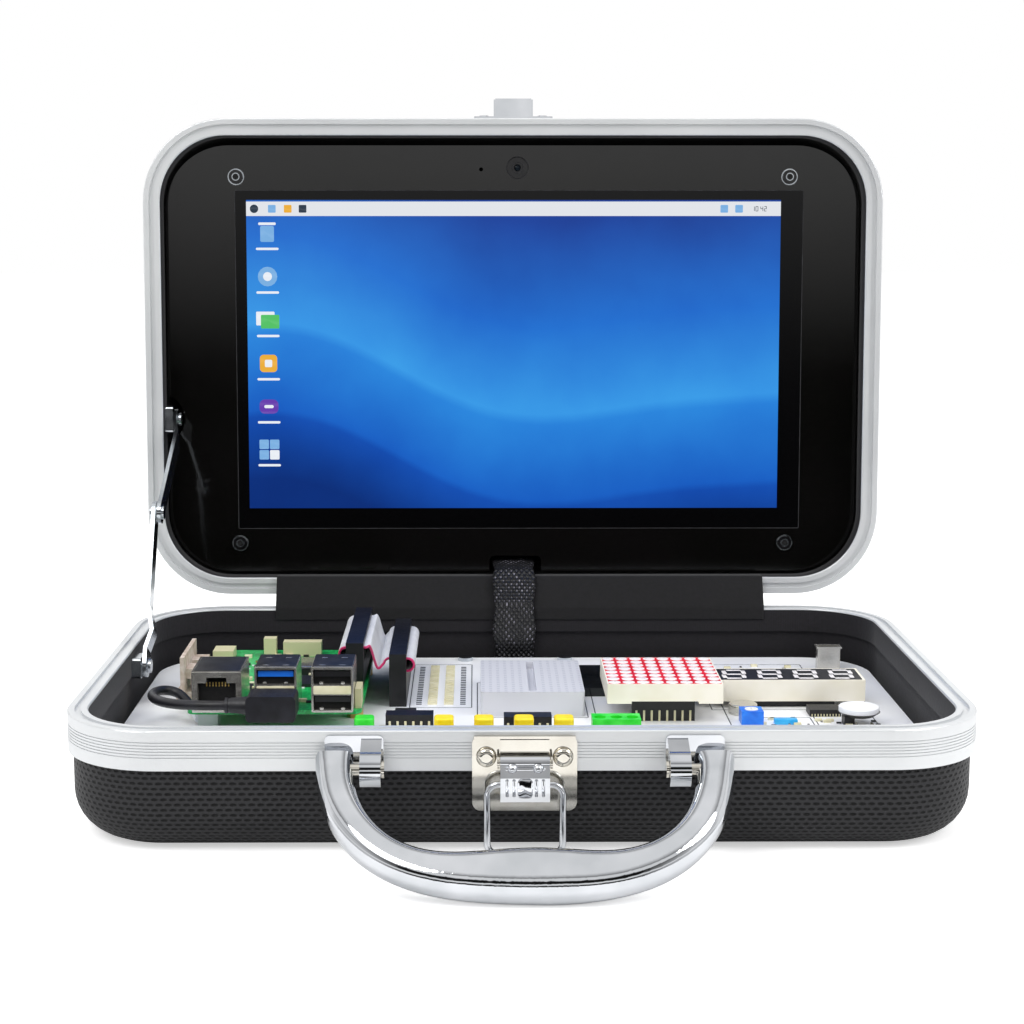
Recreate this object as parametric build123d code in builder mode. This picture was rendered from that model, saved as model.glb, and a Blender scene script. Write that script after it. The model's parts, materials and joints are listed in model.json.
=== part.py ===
from build123d import *
import math
import os

os.makedirs("parts", exist_ok=True)

# Electronics learning kit: a hard-shell case that opens like a laptop.
# Row frame in millimetres: X to the right, Y towards the hinges, Z up.
# The origin is the centre of the base's flat underside.

# Case, overall
case_width = 276.0
case_depth = 178.0
corner_radius = 31.0
base_height = 38.0
lid_height = 38.0
rim_gap = 0.3

# Moulded shells and their cloth lining
shell_inset = 1.5
shell_wall = 2.4
shell_edge_radius = 14.0
shell_top_gap = 1.7
lining_gap = 0.1
lining_wall = 1.0
lining_top_gap = 2.0

# Aluminium rim extrusion
band_height = 12.0
band_wall = 1.2
rim_width = 6.3
rim_plate = 1.6
rim_inner_height = 8.5
rim_groove_inset = 2.2
rim_groove_width = 1.9
rim_groove_depth = 0.9
fine_groove_count = 6
fine_groove_pitch = 0.9
fine_groove_size = 0.3
fine_groove_start = 3.4

# Hinges at the back
hinge_back = 1.9
hinge_rise = 2.5
lid_lean = 3.4
knuckle_radius = 1.7
knuckle_length = 12.0
knuckle_gap = 0.3
hinge_pin_radius = 0.9
hinge_running = 0.05
leaf_length = 7.5
leaf_thickness = 0.9
leaf_stand = 0.05
hinge_spread = 55.0

# Carrying handle
handle_width = 110.0
handle_reach = 36.8
handle_lean = 35.0
handle_end_width = 10.4
handle_end_thick = 9.0
handle_bar_width = 11.0
handle_bar_thick = 10.5
grip_width = 16.0
grip_thick = 11.5
grip_roundness = 0.46
handle_floor_gap = 0.15
handle_stand = 7.0
handle_pin_radius = 1.7
handle_end_radius = 5.5
running_gap = 0.05
bracket_width = 17.0
bracket_plate = 1.0
bracket_top_drop = 1.2
bracket_bottom_drop = 11.6
tab_width = 6.0
tab_radius = 5.2
tab_side_gap = 2.6

# Draw latch
latch_width = 30.4
latch_height = 22.5
latch_top_drop = 1.2
latch_plate_thick = 1.0
latch_corner = 2.5
latch_rivet_radius = 3.0
latch_rivet_spread = 11.1
latch_rivet_drop = 7.5
lever_width = 14.2
lever_pin_drop = 8.2
lever_pin_radius = 0.9
lever_barrel_radius = 1.9
lever_stand = 3.4
lever_length = 10.9
lever_thick = 4.6
bail_wire_radius = 1.0
bail_width = 21.8
bail_length = 21.0
bail_pivot_drop = 14.2
bail_corner = 3.4
hook_plate_width = 29.4
hook_width = 13.4
hook_reach = 7.6
hook_rise = 4.6
hook_thick = 1.2

# Lid stay
stay_pivot_drop = 6.0
stay_base_reach = 73.9
stay_lid_reach = 68.0
elbow_back = 27.0
elbow_rise = 49.0
strap_width = 8.0
strap_thick = 1.3
stay_pin_radius = 1.5
stay_bracket_thick = 3.3
stay_bracket_long = 10.0
stay_bracket_high = 7.0

# Main board
board_side_gap = 2.1
board_end_gap = 3.7
board_corner_gap = 0.7
board_thick = 1.6
board_top = 20.0
standoff_radius = 3.0
screw_head_radius = 2.8
screw_head_height = 1.3

# Single-board computer
sbc_length = 85.0
sbc_width = 56.0
sbc_thick = 1.4
sbc_top = 28.5
sbc_right = -50.8
sbc_front = -29.6
port_overhang = 3.0
usb_width = 13.4
usb_depth = 17.4
usb_height = 14.9
usb_offset_a = 9.0
usb_offset_b = 27.0
ethernet_offset = 45.75
ethernet_width = 15.9
ethernet_depth = 21.3
ethernet_height = 13.3

# Ribbon cable and its sockets
socket_length = 58.0
socket_width = 5.8
ribbon_width = 50.8
ribbon_thick = 0.9
computer_socket_top = 45.0
board_socket_top = 38.2
board_socket_x = -40.6
board_socket_front = 6.7

# Screen panel in the lid
panel_recess = 10.0
panel_side_gap = 0.6
panel_top_gap = 2.8
panel_bottom_gap = 1.1
panel_thick = 2.5
glass_width = 214.4
glass_height = 127.9
glass_shift_x = 2.4
glass_shift_y = -0.9
panel_screw_x = 104.4
panel_screw_top = 68.2
panel_screw_bottom = -70.6
panel_screw_radius = 2.6


# Reference planes and axes shared by several pieces
base_rim = Plane.XY.offset(base_height)
hinge_y = case_depth / 2 + hinge_back
hinge_z = base_height + hinge_rise
lean = math.radians(lid_lean)
lid_out = Vector(0, -math.cos(lean), math.sin(lean))
lid_up = Vector(0, math.sin(lean), math.cos(lean))
hinge_point = Vector(0, hinge_y, hinge_z)
lid_centre = hinge_point + lid_up * hinge_y + lid_out * (hinge_rise - rim_gap)
lid_rim = Plane(origin=lid_centre, x_dir=(1, 0, 0), z_dir=lid_out)
inner_half_width = case_width / 2 - rim_width
inner_edge = case_depth / 2 - rim_width
inner_corner = corner_radius - rim_width - board_corner_gap
board_half_width = inner_half_width - board_side_gap
board_back = inner_edge - board_end_gap
board_front = inner_edge - board_end_gap
panel_half_width = inner_half_width - panel_side_gap
panel_top = inner_edge - panel_top_gap
panel_bottom = panel_bottom_gap - inner_edge
board_bottom = board_top - board_thick
sbc_bottom = sbc_top - sbc_thick
sbc_left = sbc_right - sbc_width
sbc_back = sbc_front + sbc_length
lining_floor = shell_wall + lining_gap + lining_wall


def outline(inset):
    """The case's rounded outline, drawn in by an inset, into the open sketch."""
    RectangleRounded(
        case_width - 2 * inset, case_depth - 2 * inset, corner_radius - inset
    )


def tray_block(rim, height, inset, floor_gap, top_gap, edge):
    """A solid block inside the outline with a rounded edge at its floor."""
    with BuildPart() as block:
        with BuildSketch(rim.offset(-height + floor_gap)):
            outline(inset)
        extrude(amount=height - floor_gap - top_gap)
        floor_edges = block.edges().group_by(Axis(rim.origin, rim.z_dir))[0]
        fillet(floor_edges, edge)
    return block.part


def make_shell(rim, height):
    """A thin moulded tray, open towards its rim."""
    inside = shell_inset + shell_wall
    with BuildPart() as shell:
        add(tray_block(rim, height, shell_inset, 0, shell_top_gap, shell_edge_radius))
        hollow = tray_block(
            rim, height, inside, shell_wall, 0, shell_edge_radius - shell_wall
        )
        add(hollow, mode=Mode.SUBTRACT)
    return shell


def make_lining(rim, height):
    """The cloth lining, one skin that follows the inside of the shell."""
    outside = shell_inset + shell_wall + lining_gap
    edge = shell_edge_radius - shell_wall - lining_gap
    depth = shell_wall + lining_gap
    with BuildPart() as lining:
        add(tray_block(rim, height, outside, depth, lining_top_gap, edge))
        hollow = tray_block(
            rim, height, outside + lining_wall, depth + lining_wall, 0, edge - lining_wall
        )
        add(hollow, mode=Mode.SUBTRACT)
    return lining


def make_frame(rim):
    """The rim extrusion: an inverted channel over the shell's edge, grooved outside."""
    with BuildPart() as frame:
        with BuildSketch(rim.offset(-band_height)):
            outline(0)
            offset(amount=-band_wall, kind=Kind.INTERSECTION, mode=Mode.SUBTRACT)
        extrude(amount=band_height)
        with BuildSketch(rim.offset(-rim_plate)):
            outline(0)
            outline_cut = rim_width
            with Locations((0, 0)):
                RectangleRounded(
                    case_width - 2 * outline_cut,
                    case_depth - 2 * outline_cut,
                    corner_radius - outline_cut,
                    mode=Mode.SUBTRACT,
                )
        extrude(amount=rim_plate)
        with BuildSketch(rim.offset(-rim_inner_height)):
            outline(rim_width - band_wall)
            RectangleRounded(
                case_width - 2 * rim_width,
                case_depth - 2 * rim_width,
                corner_radius - rim_width,
                mode=Mode.SUBTRACT,
            )
        extrude(amount=rim_inner_height)
        top_edges = frame.edges().group_by(Axis(rim.origin, rim.z_dir))[-1]
        fillet(top_edges, 0.5)
        with BuildSketch(rim.offset(-rim_groove_depth)):
            outline(rim_groove_inset)
            inner_inset = rim_groove_inset + rim_groove_width
            RectangleRounded(
                case_width - 2 * inner_inset,
                case_depth - 2 * inner_inset,
                corner_radius - inner_inset,
                mode=Mode.SUBTRACT,
            )
        extrude(amount=rim_groove_depth, mode=Mode.SUBTRACT)
        for i in range(fine_groove_count):
            drop = fine_groove_start + i * fine_groove_pitch
            with BuildSketch(rim.offset(-drop - fine_groove_size)):
                outline(-1)
                RectangleRounded(
                    case_width - 2 * fine_groove_size,
                    case_depth - 2 * fine_groove_size,
                    corner_radius - fine_groove_size,
                    mode=Mode.SUBTRACT,
                )
            extrude(amount=fine_groove_size, mode=Mode.SUBTRACT)
    return frame


# Case halves
base_shell = make_shell(base_rim, base_height)
base_lining = make_lining(base_rim, base_height)
base_frame = make_frame(base_rim)
lid_shell = make_shell(lid_rim, lid_height)
lid_lining = make_lining(lid_rim, lid_height)
lid_frame = make_frame(lid_rim)


# Hinges: three knuckles each, the outer two on the base and the middle one on the lid
hinge_base = Plane(origin=(0, hinge_y, hinge_z), x_dir=(0, 1, 0), z_dir=(1, 0, 0))
hinge_lid = Plane(origin=(0, hinge_y, hinge_z), x_dir=-lid_up, z_dir=(1, 0, 0))
hinge_full = 3 * knuckle_length + 2 * knuckle_gap
leaf_near = hinge_back - leaf_stand
leaf_far = leaf_near - leaf_thickness
leaf_root = knuckle_radius + knuckle_gap


def knuckle(plane, start, web_sign):
    """One knuckle with the web that carries it."""
    with BuildPart() as piece:
        with BuildSketch(plane.offset(start)):
            Circle(knuckle_radius)
            with Locations((-(leaf_near + leaf_far) / 2, web_sign * leaf_root / 2)):
                Rectangle(leaf_thickness, leaf_root + 0.2)
            Circle(hinge_pin_radius + hinge_running, mode=Mode.SUBTRACT)
        extrude(amount=knuckle_length)
    return piece.part


def leaf(plane, start, web_sign):
    """The flat leaf that is riveted to the rim band."""
    leaf_middle = web_sign * (leaf_root + leaf_length / 2)
    with BuildPart() as piece:
        with BuildSketch(plane.offset(start)):
            with Locations((-(leaf_near + leaf_far) / 2, leaf_middle)):
                Rectangle(leaf_thickness, leaf_length)
        extrude(amount=hinge_full)
    return piece.part


with BuildPart() as hinge_base_leaves:
    for side in (-1, 1):
        left = side * hinge_spread - hinge_full / 2
        add(leaf(hinge_base, left, -1))
        add(knuckle(hinge_base, left, -1))
        add(knuckle(hinge_base, left + 2 * (knuckle_length + knuckle_gap), -1))

with BuildPart() as hinge_lid_leaves:
    for side in (-1, 1):
        left = side * hinge_spread - hinge_full / 2
        add(leaf(hinge_lid, left, 1))
        add(knuckle(hinge_lid, left + knuckle_length + knuckle_gap, 1))


# Carrying handle, leaning out so that its grip lies on the table
handle_angle = math.radians(handle_lean)
grip_round = min(grip_width, grip_thick) * grip_roundness
grip_half_height = (
    grip_round
    + (grip_width / 2 - grip_round) * math.sin(handle_angle)
    + (grip_thick / 2 - grip_round) * math.cos(handle_angle)
)
handle_pivot_y = -case_depth / 2 - handle_stand
handle_pivot_z = handle_reach * math.sin(handle_angle) + grip_half_height + handle_floor_gap
handle_plane = Plane(
    origin=(0, handle_pivot_y, handle_pivot_z),
    x_dir=(1, 0, 0),
    z_dir=(0, -math.sin(handle_angle), math.cos(handle_angle)),
)
handle_half = handle_width / 2
with BuildLine(handle_plane) as handle_line:
    Spline(
        (-handle_half, 3.0),
        (-handle_half + 0.9, -5.0),
        (-handle_half + 3.6, -14.6),
        (-handle_half + 8.6, -23.4),
        (-handle_half + 15.5, -30.0),
        (-handle_half + 24.0, -34.4),
        (0, -handle_reach),
        (handle_half - 24.0, -34.4),
        (handle_half - 15.5, -30.0),
        (handle_half - 8.6, -23.4),
        (handle_half - 3.6, -14.6),
        (handle_half - 0.9, -5.0),
        (handle_half, 3.0),
        tangents=[(0.05, -1), (0.05, 1)],
    )
handle_stations = (0, 0.06, 0.14, 0.24, 0.34, 0.42, 0.5, 0.58, 0.66, 0.76, 0.86, 0.94, 1)


def handle_section(t):
    """Width and thickness of the handle at a share of its length: it swells at the grip."""
    swell = math.exp(-(((t - 0.5) / 0.15) ** 2))
    near_end = max(0.0, 1 - min(t, 1 - t) / 0.14)
    width = handle_bar_width + (grip_width - handle_bar_width) * swell
    thick = handle_bar_thick + (grip_thick - handle_bar_thick) * swell
    width = width + (handle_end_width - handle_bar_width) * near_end
    thick = thick + (handle_end_thick - handle_bar_thick) * near_end
    return width, thick


with BuildPart() as handle:
    for t in handle_stations:
        station = handle_line.wires()[0].location_at(t)
        tangent = handle_line.wires()[0].tangent_at(t)
        section_plane = Plane(
            origin=station.position, x_dir=handle_plane.z_dir, z_dir=tangent
        )
        width, thick = handle_section(t)
        with BuildSketch(section_plane):
            RectangleRounded(thick, width, min(thick, width) * grip_roundness)
    loft()
    end_plane = Plane(
        origin=(-handle_half - 10, handle_pivot_y, handle_pivot_z),
        x_dir=(0, math.cos(handle_angle), math.sin(handle_angle)),
        z_dir=(1, 0, 0),
    )
    with BuildSketch(end_plane):
        with Locations((10, 0)):
            Rectangle(20, 30)
        Circle(handle_end_radius, mode=Mode.SUBTRACT)
    extrude(amount=2 * handle_half + 20, mode=Mode.SUBTRACT)
    pin_start = handle_half - handle_end_width / 2 - 1
    for side in (-1, 1):
        bore_plane = Plane(
            origin=(side * pin_start, handle_pivot_y, handle_pivot_z),
            x_dir=(0, 1, 0),
            z_dir=(side, 0, 0),
        )
        with BuildSketch(bore_plane):
            Circle(handle_pin_radius + running_gap)
        extrude(amount=8.0, mode=Mode.SUBTRACT)

# Handle brackets: a plate on the rim band with a rounded tab that holds the pin
tab_centre = handle_half - handle_end_width / 2 - tab_side_gap - tab_width / 2
front_face_y = -case_depth / 2
with BuildPart() as handle_brackets:
    for side in (-1, 1):
        plate_centre = side * (tab_centre + bracket_width / 2 - tab_width / 2 - 0.4)
        plate_mid_z = base_height - (bracket_top_drop + bracket_bottom_drop) / 2
        with BuildSketch(Plane.XZ.offset(-front_face_y)):
            with Locations((plate_centre, plate_mid_z)):
                RectangleRounded(bracket_width, bracket_bottom_drop - bracket_top_drop, 1.5)
        extrude(amount=bracket_plate)
        with BuildSketch(Plane.YZ.offset(side * tab_centre - tab_width / 2)):
            with Locations((handle_pivot_y, handle_pivot_z)):
                Circle(tab_radius)
            web_back = front_face_y - bracket_plate / 2
            with BuildLine():
                Polyline(
                    (handle_pivot_y, handle_pivot_z - 1.0),
                    (handle_pivot_y, handle_pivot_z + tab_radius),
                    (web_back, base_height - bracket_top_drop - 0.6),
                    (web_back, handle_pivot_z - 1.0),
                    close=True,
                )
            make_face()
            with Locations((handle_pivot_y, handle_pivot_z)):
                Circle(handle_pin_radius + running_gap, mode=Mode.SUBTRACT)
        extrude(amount=tab_width)

# Draw latch on the front of the base
latch_face_y = front_face_y - latch_plate_thick
latch_top_z = base_height - latch_top_drop
lever_pin_y = latch_face_y - lever_stand
lever_pin_z = base_height - lever_pin_drop
bail_pivot_y = lever_pin_y - 1.9
bail_pivot_z = base_height - bail_pivot_drop
ear_gap = 0.25
ear_thick = 0.6
with BuildPart() as latch_plate:
    with BuildSketch(Plane.XZ.offset(-front_face_y)):
        with Locations((0, latch_top_z - latch_height / 2)):
            RectangleRounded(latch_width, latch_height, latch_corner)
    extrude(amount=latch_plate_thick)
    with BuildSketch(Plane.XZ.offset(-latch_face_y)):
        with Locations((0, latch_top_z - 0.5)):
            Rectangle(latch_width - 1.0, 1.0)
    extrude(amount=1.0)
    with BuildSketch(Plane.XZ.offset(-latch_face_y)):
        with Locations((0, latch_top_z - 2.6)):
            Rectangle(lever_width, 3.4)
    extrude(amount=1.5)
    for side in (-1, 1):
        ear_start = side * (lever_width / 2 + ear_gap + ear_thick / 2) - ear_thick / 2
        with BuildSketch(Plane.YZ.offset(ear_start)):
            with Locations((lever_pin_y, lever_pin_z)):
                Circle(lever_barrel_radius)
            with Locations(((lever_pin_y + latch_face_y) / 2, lever_pin_z)):
                Rectangle(lever_stand, 2 * lever_barrel_radius)
            with Locations((lever_pin_y, lever_pin_z)):
                Circle(lever_pin_radius + 0.02, mode=Mode.SUBTRACT)
        extrude(amount=ear_thick)

with BuildPart() as latch_lever:
    lever_left = -lever_width / 2
    lever_bottom = lever_pin_z - lever_length
    with BuildSketch(Plane.YZ.offset(lever_left)):
        with BuildLine():
            Polyline(
                (lever_pin_y + 1.2, lever_pin_z),
                (lever_pin_y - 1.5, lever_pin_z),
                (bail_pivot_y - 2.2, bail_pivot_z + 2.4),
                (bail_pivot_y - 2.4, bail_pivot_z - 2.0),
                (bail_pivot_y - 1.2, lever_bottom),
                (bail_pivot_y + 1.2, lever_bottom),
                (bail_pivot_y + 2.0, bail_pivot_z - 1.4),
                close=True,
            )
        make_face()
        with Locations((lever_pin_y, lever_pin_z)):
            Circle(lever_barrel_radius)
        with Locations((lever_pin_y, lever_pin_z)):
            Circle(lever_pin_radius + running_gap, mode=Mode.SUBTRACT)
        with Locations((bail_pivot_y, bail_pivot_z)):
            Circle(bail_wire_radius + running_gap, mode=Mode.SUBTRACT)
    extrude(amount=lever_width)
    with BuildSketch(Plane.YZ.offset(-1.6)):
        with Locations((bail_pivot_y - 4.0, bail_pivot_z - 0.6)):
            Circle(2.6)
    extrude(amount=3.2, mode=Mode.SUBTRACT)

with BuildSketch(Plane.XZ.offset(-bail_pivot_y)) as bail_outline:
    with Locations((0, bail_pivot_z - bail_length / 2)):
        RectangleRounded(bail_width, bail_length, bail_corner)
bail_wire = bail_outline.sketch.face().outer_wire()
with BuildPart() as latch_bail:
    with BuildSketch(Plane(origin=bail_wire @ 0, z_dir=bail_wire % 0)):
        Circle(bail_wire_radius)
    sweep(path=bail_wire)

with BuildPart() as rivets_and_pins:
    for side in (-1, 1):
        rivet_z = base_height - latch_rivet_drop
        dome_plane = Plane(
            origin=(side * latch_rivet_spread, latch_face_y, rivet_z),
            x_dir=(1, 0, 0),
            z_dir=(0, -1, 0),
        )
        with BuildSketch(dome_plane):
            Circle(latch_rivet_radius)
        extrude(amount=1.9)
        fillet(
            rivets_and_pins.edges().group_by(Axis.Y)[0].sort_by(Axis.X)[0 if side < 0 else -1],
            1.7,
        )
        hinge_pin_plane = Plane.YZ.offset(side * hinge_spread - hinge_full / 2)
        with BuildSketch(hinge_pin_plane):
            with Locations((hinge_y, hinge_z)):
                Circle(hinge_pin_radius)
        extrude(amount=hinge_full)
    for side in (-1, 1):
        pin_plane = Plane(
            origin=(side * (tab_centre - tab_width / 2 - 0.9), handle_pivot_y, handle_pivot_z),
            x_dir=(0, 1, 0),
            z_dir=(side, 0, 0),
        )
        with BuildSketch(pin_plane):
            Circle(handle_pin_radius + 0.9)
        extrude(amount=0.8)
        with BuildSketch(pin_plane):
            Circle(handle_pin_radius)
        extrude(amount=tab_width + tab_side_gap + 7.6)
    lever_pin_half = lever_width / 2 + ear_gap + ear_thick + 0.1
    with BuildSketch(Plane.YZ.offset(-lever_pin_half)):
        with Locations((lever_pin_y, lever_pin_z)):
            Circle(lever_pin_radius)
    extrude(amount=2 * lever_pin_half)

# Catch on the lid that the bail hooks over when the case is shut
lid_front = Plane(
    origin=lid_rim.origin + lid_up * (case_depth / 2), x_dir=(1, 0, 0), z_dir=lid_up
)
with BuildPart() as latch_catch:
    with BuildSketch(lid_front):
        with Locations((0, 7.2)):
            RectangleRounded(hook_plate_width, 10.4, 1.5)
    extrude(amount=0.9)
    with BuildSketch(lid_front):
        with Locations((0, hook_rise)):
            Rectangle(hook_width, hook_thick)
    extrude(amount=hook_reach)
    with BuildSketch(lid_front.offset(hook_reach - hook_thick)):
        with Locations((0, hook_rise + 1.5)):
            Rectangle(hook_width, 3.0 + hook_thick)
    extrude(amount=hook_thick)
    for side in (-1, 1):
        with BuildSketch(lid_front):
            with Locations((side * (hook_width / 2 + 0.3), hook_rise + 0.4)):
                Rectangle(0.6, 2.6)
        extrude(amount=hook_reach - 0.4)
        with BuildSketch(lid_front.offset(0.9)):
            with Locations((side * (hook_width / 2 + 4.2), hook_rise + 3.2)):
                Circle(1.9)
        extrude(amount=0.7)


# Lid stay on the left: two straps between a bracket in the base and one in the lid
base_stay_y = hinge_y - stay_base_reach
base_stay_z = base_height - stay_pivot_drop
lid_stay = hinge_point + lid_up * stay_lid_reach
lid_stay = lid_stay + lid_out * (hinge_rise - rim_gap - stay_pivot_drop)
wall_x = -inner_half_width
bracket_x = wall_x + stay_bracket_thick
lower_x = bracket_x + 0.35
elbow_y = base_stay_y + elbow_back
elbow_z = base_stay_z + elbow_rise
lower_dir = Vector(0, elbow_y - base_stay_y, elbow_z - base_stay_z)
upper_dir = Vector(0, elbow_y - lid_stay.Y, elbow_z - lid_stay.Z)
strap_gap = 0.5
elbow_head_height = 0.8


def strap(start, direction, side_points, width, head_side):
    """A flat bar that starts at a pivot, with round ends, cranked sideways.

    side_points are (distance along the bar, X of its outer face). The rivet head of the
    elbow stands on one face of the far end: -1 is the outer face and 1 the inner one.
    """
    length = direction.length
    along = direction.normalized()
    across = along.cross(Vector(1, 0, 0))
    profile_plane = Plane(origin=(0, start[0], start[1]), x_dir=along, z_dir=across)
    with BuildPart() as bar:
        with BuildSketch(profile_plane):
            with BuildLine():
                outer = list(side_points)
                inner = [(s, x + strap_thick) for s, x in reversed(side_points)]
                Polyline(*outer, *inner, close=True)
            make_face()
        extrude(amount=width / 2, both=True)
        face_plane = Plane(
            origin=(-case_width / 2, start[0], start[1]), x_dir=along, z_dir=(1, 0, 0)
        )
        with BuildSketch(face_plane):
            with Locations((length / 2, 0)):
                SlotCenterToCenter(length, width)
        extrude(amount=20, mode=Mode.INTERSECT)
        with BuildSketch(face_plane):
            Circle(stay_pin_radius + running_gap)
        extrude(amount=20, mode=Mode.SUBTRACT)
        end_x = side_points[-1][1]
        head_start = end_x + strap_thick if head_side > 0 else end_x - elbow_head_height
        head_plane = Plane(
            origin=(head_start, start[0], start[1]), x_dir=along, z_dir=(1, 0, 0)
        )
        with BuildSketch(head_plane):
            with Locations((length, 0)):
                Circle(stay_pin_radius + 1.0)
        extrude(amount=elbow_head_height)
    return bar


lower_length = lower_dir.length
upper_length = upper_dir.length
upper_x = lower_x + strap_thick + strap_gap
crank_x = lower_x + 1.9
stay_lower_link = strap(
    (base_stay_y, base_stay_z),
    lower_dir,
    (
        (-strap_width, lower_x),
        (strap_width * 0.7, lower_x),
        (strap_width * 1.5, crank_x),
        (lower_length * 0.37, lower_x),
        (lower_length + strap_width, lower_x),
    ),
    strap_width,
    -1,
)
stay_upper_link = strap(
    (lid_stay.Y, lid_stay.Z),
    upper_dir,
    (
        (-strap_width, lower_x),
        (strap_width * 0.7, lower_x),
        (strap_width * 1.7, upper_x),
        (upper_length + strap_width, upper_x),
    ),
    strap_width,
    1,
)


def stay_bracket(plane, centre):
    """Block on the inner wall with a headed pivot pin standing out of it."""
    with BuildPart() as bracket:
        with BuildSketch(plane):
            with Locations(centre):
                RectangleRounded(stay_bracket_long, stay_bracket_high, 1.0)
        extrude(amount=stay_bracket_thick)
        with BuildSketch(plane):
            with Locations(centre):
                Circle(stay_pin_radius)
        extrude(amount=stay_bracket_thick + 0.35 + strap_thick + 1.2)
        head_start = stay_bracket_thick + 0.35 + strap_thick + 0.3
        with BuildSketch(plane.offset(head_start)):
            with Locations(centre):
                Circle(stay_pin_radius + 1.0)
        extrude(amount=0.9)
    return bracket


stay_base_bracket = stay_bracket(Plane.YZ.offset(wall_x), (base_stay_y, base_stay_z))
lid_wall = Plane(origin=(wall_x, lid_stay.Y, lid_stay.Z), x_dir=lid_up, z_dir=(1, 0, 0))
stay_lid_bracket = stay_bracket(lid_wall, (0, 0))


# Main carrier board on standoffs in the base
board_depth = board_front + board_back
board_mid_y = (board_back - board_front) / 2
board_holes = [
    (-18.0, board_back - 4.0),
    (19.2, board_back - 4.0),
    (-117.0, 50.0),
    (117.0, 44.0),
    (-117.0, -50.0),
    (117.0, -50.0),
    (0.0, -board_front + 6),
]
screw_shank_radius = 1.5
with BuildPart() as main_board:
    with BuildSketch(Plane.XY.offset(board_bottom)):
        with Locations((0, board_mid_y)):
            RectangleRounded(2 * board_half_width, board_depth, inner_corner)
        with Locations(*board_holes):
            Circle(screw_shank_radius + 0.1, mode=Mode.SUBTRACT)
    extrude(amount=board_thick)

sbc_hole_inset = 3.5
sbc_holes = [
    (x, y)
    for x in (sbc_left + sbc_hole_inset, sbc_right - sbc_hole_inset)
    for y in (sbc_back - sbc_hole_inset, sbc_back - sbc_hole_inset - 58.0)
]
lining_inside = tray_block(
    base_rim,
    base_height,
    shell_inset + shell_wall + lining_gap + lining_wall,
    lining_floor,
    0,
    shell_edge_radius - lining_floor,
)
with BuildPart() as standoffs:
    with BuildSketch(Plane.XY.offset(lining_floor)):
        with Locations(*board_holes):
            RegularPolygon(standoff_radius, 6)
            Circle(screw_shank_radius, mode=Mode.SUBTRACT)
    extrude(amount=board_bottom - lining_floor)
    add(lining_inside, mode=Mode.INTERSECT)
    with BuildSketch(Plane.XY.offset(board_top)):
        with Locations(*sbc_holes):
            RegularPolygon(2.7, 6)
            Circle(1.2, mode=Mode.SUBTRACT)
    extrude(amount=sbc_bottom - board_top)

with BuildPart() as board_screws:
    with BuildSketch(Plane.XY.offset(board_top)):
        with Locations(*board_holes):
            Circle(screw_head_radius)
    extrude(amount=screw_head_height)
    with BuildSketch(Plane.XY.offset(board_top - 6.0)):
        with Locations(*board_holes):
            Circle(screw_shank_radius - 0.02)
    extrude(amount=6.0)
    with BuildSketch(Plane.XY.offset(sbc_top)):
        with Locations(*sbc_holes):
            Circle(2.3)
    extrude(amount=1.0)
    with BuildSketch(Plane.XY.offset(sbc_top - 5.0)):
        with Locations(*sbc_holes):
            Circle(1.18)
    extrude(amount=5.0)


# Single-board computer
with BuildPart() as sbc_board:
    with BuildSketch(Plane.XY.offset(sbc_bottom)):
        with Locations(((sbc_left + sbc_right) / 2, (sbc_front + sbc_back) / 2)):
            RectangleRounded(sbc_width, sbc_length, 3.0)
        with Locations(*sbc_holes):
            Circle(1.35, mode=Mode.SUBTRACT)
    extrude(amount=sbc_thick)

usb_face_y = sbc_front - port_overhang
usb_xs = (sbc_right - usb_offset_a, sbc_right - usb_offset_b)
port_width = 12.0
port_height = 4.9
port_levels = (0.7, 9.0)
port_depth = 9.0
tongue_height = 1.8
tongue_set_back = 1.0
with BuildPart() as usb_stacks:
    for x in usb_xs:
        with BuildSketch(Plane.XZ.offset(-usb_face_y)):
            with Locations((x, sbc_top + usb_height / 2)):
                RectangleRounded(usb_width, usb_height, 0.6)
        extrude(amount=-usb_depth)
    for x in usb_xs:
        for level in port_levels:
            with BuildSketch(Plane.XZ.offset(-usb_face_y)):
                with Locations((x, sbc_top + level + port_height / 2)):
                    Rectangle(port_width, port_height)
            extrude(amount=-port_depth, mode=Mode.SUBTRACT)

with BuildPart() as usb_tongues:
    for x in usb_xs:
        for level in port_levels:
            with BuildSketch(Plane.XZ.offset(-usb_face_y - tongue_set_back)):
                with Locations((x, sbc_top + level + port_height - 0.6 - tongue_height / 2)):
                    Rectangle(port_width - 0.8, tongue_height)
            extrude(amount=-(port_depth - tongue_set_back))

ethernet_x = sbc_right - ethernet_offset
with BuildPart() as ethernet_jack:
    with BuildSketch(Plane.XZ.offset(-usb_face_y)):
        with Locations((ethernet_x, sbc_top + ethernet_height / 2)):
            Rectangle(ethernet_width, ethernet_height)
    extrude(amount=-ethernet_depth)
    with BuildSketch(Plane.XZ.offset(-usb_face_y)):
        with Locations((ethernet_x, sbc_top + 5.6)):
            Rectangle(12.2, 8.0)
        with Locations((ethernet_x, sbc_top + 10.4)):
            Rectangle(6.4, 2.0)
    extrude(amount=-12.0, mode=Mode.SUBTRACT)

computer_socket_x = sbc_right - sbc_hole_inset
computer_socket_y = sbc_back - 32.5
computer_socket_front = computer_socket_y - socket_length / 2
header_body = 2.5
computer_header_top = computer_socket_top - 14.0
board_header_top = board_socket_top - 8.0
board_socket_y = board_socket_front + socket_length / 2
with BuildPart() as pin_headers:
    with BuildSketch(Plane.XY.offset(sbc_top)):
        with Locations((computer_socket_x, computer_socket_y)):
            Rectangle(5.0, 50.8)
    extrude(amount=header_body)
    with BuildSketch(Plane.XY.offset(board_top)):
        with Locations((board_socket_x, board_socket_y)):
            Rectangle(socket_width, socket_length)
    extrude(amount=board_header_top - board_top)

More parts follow.
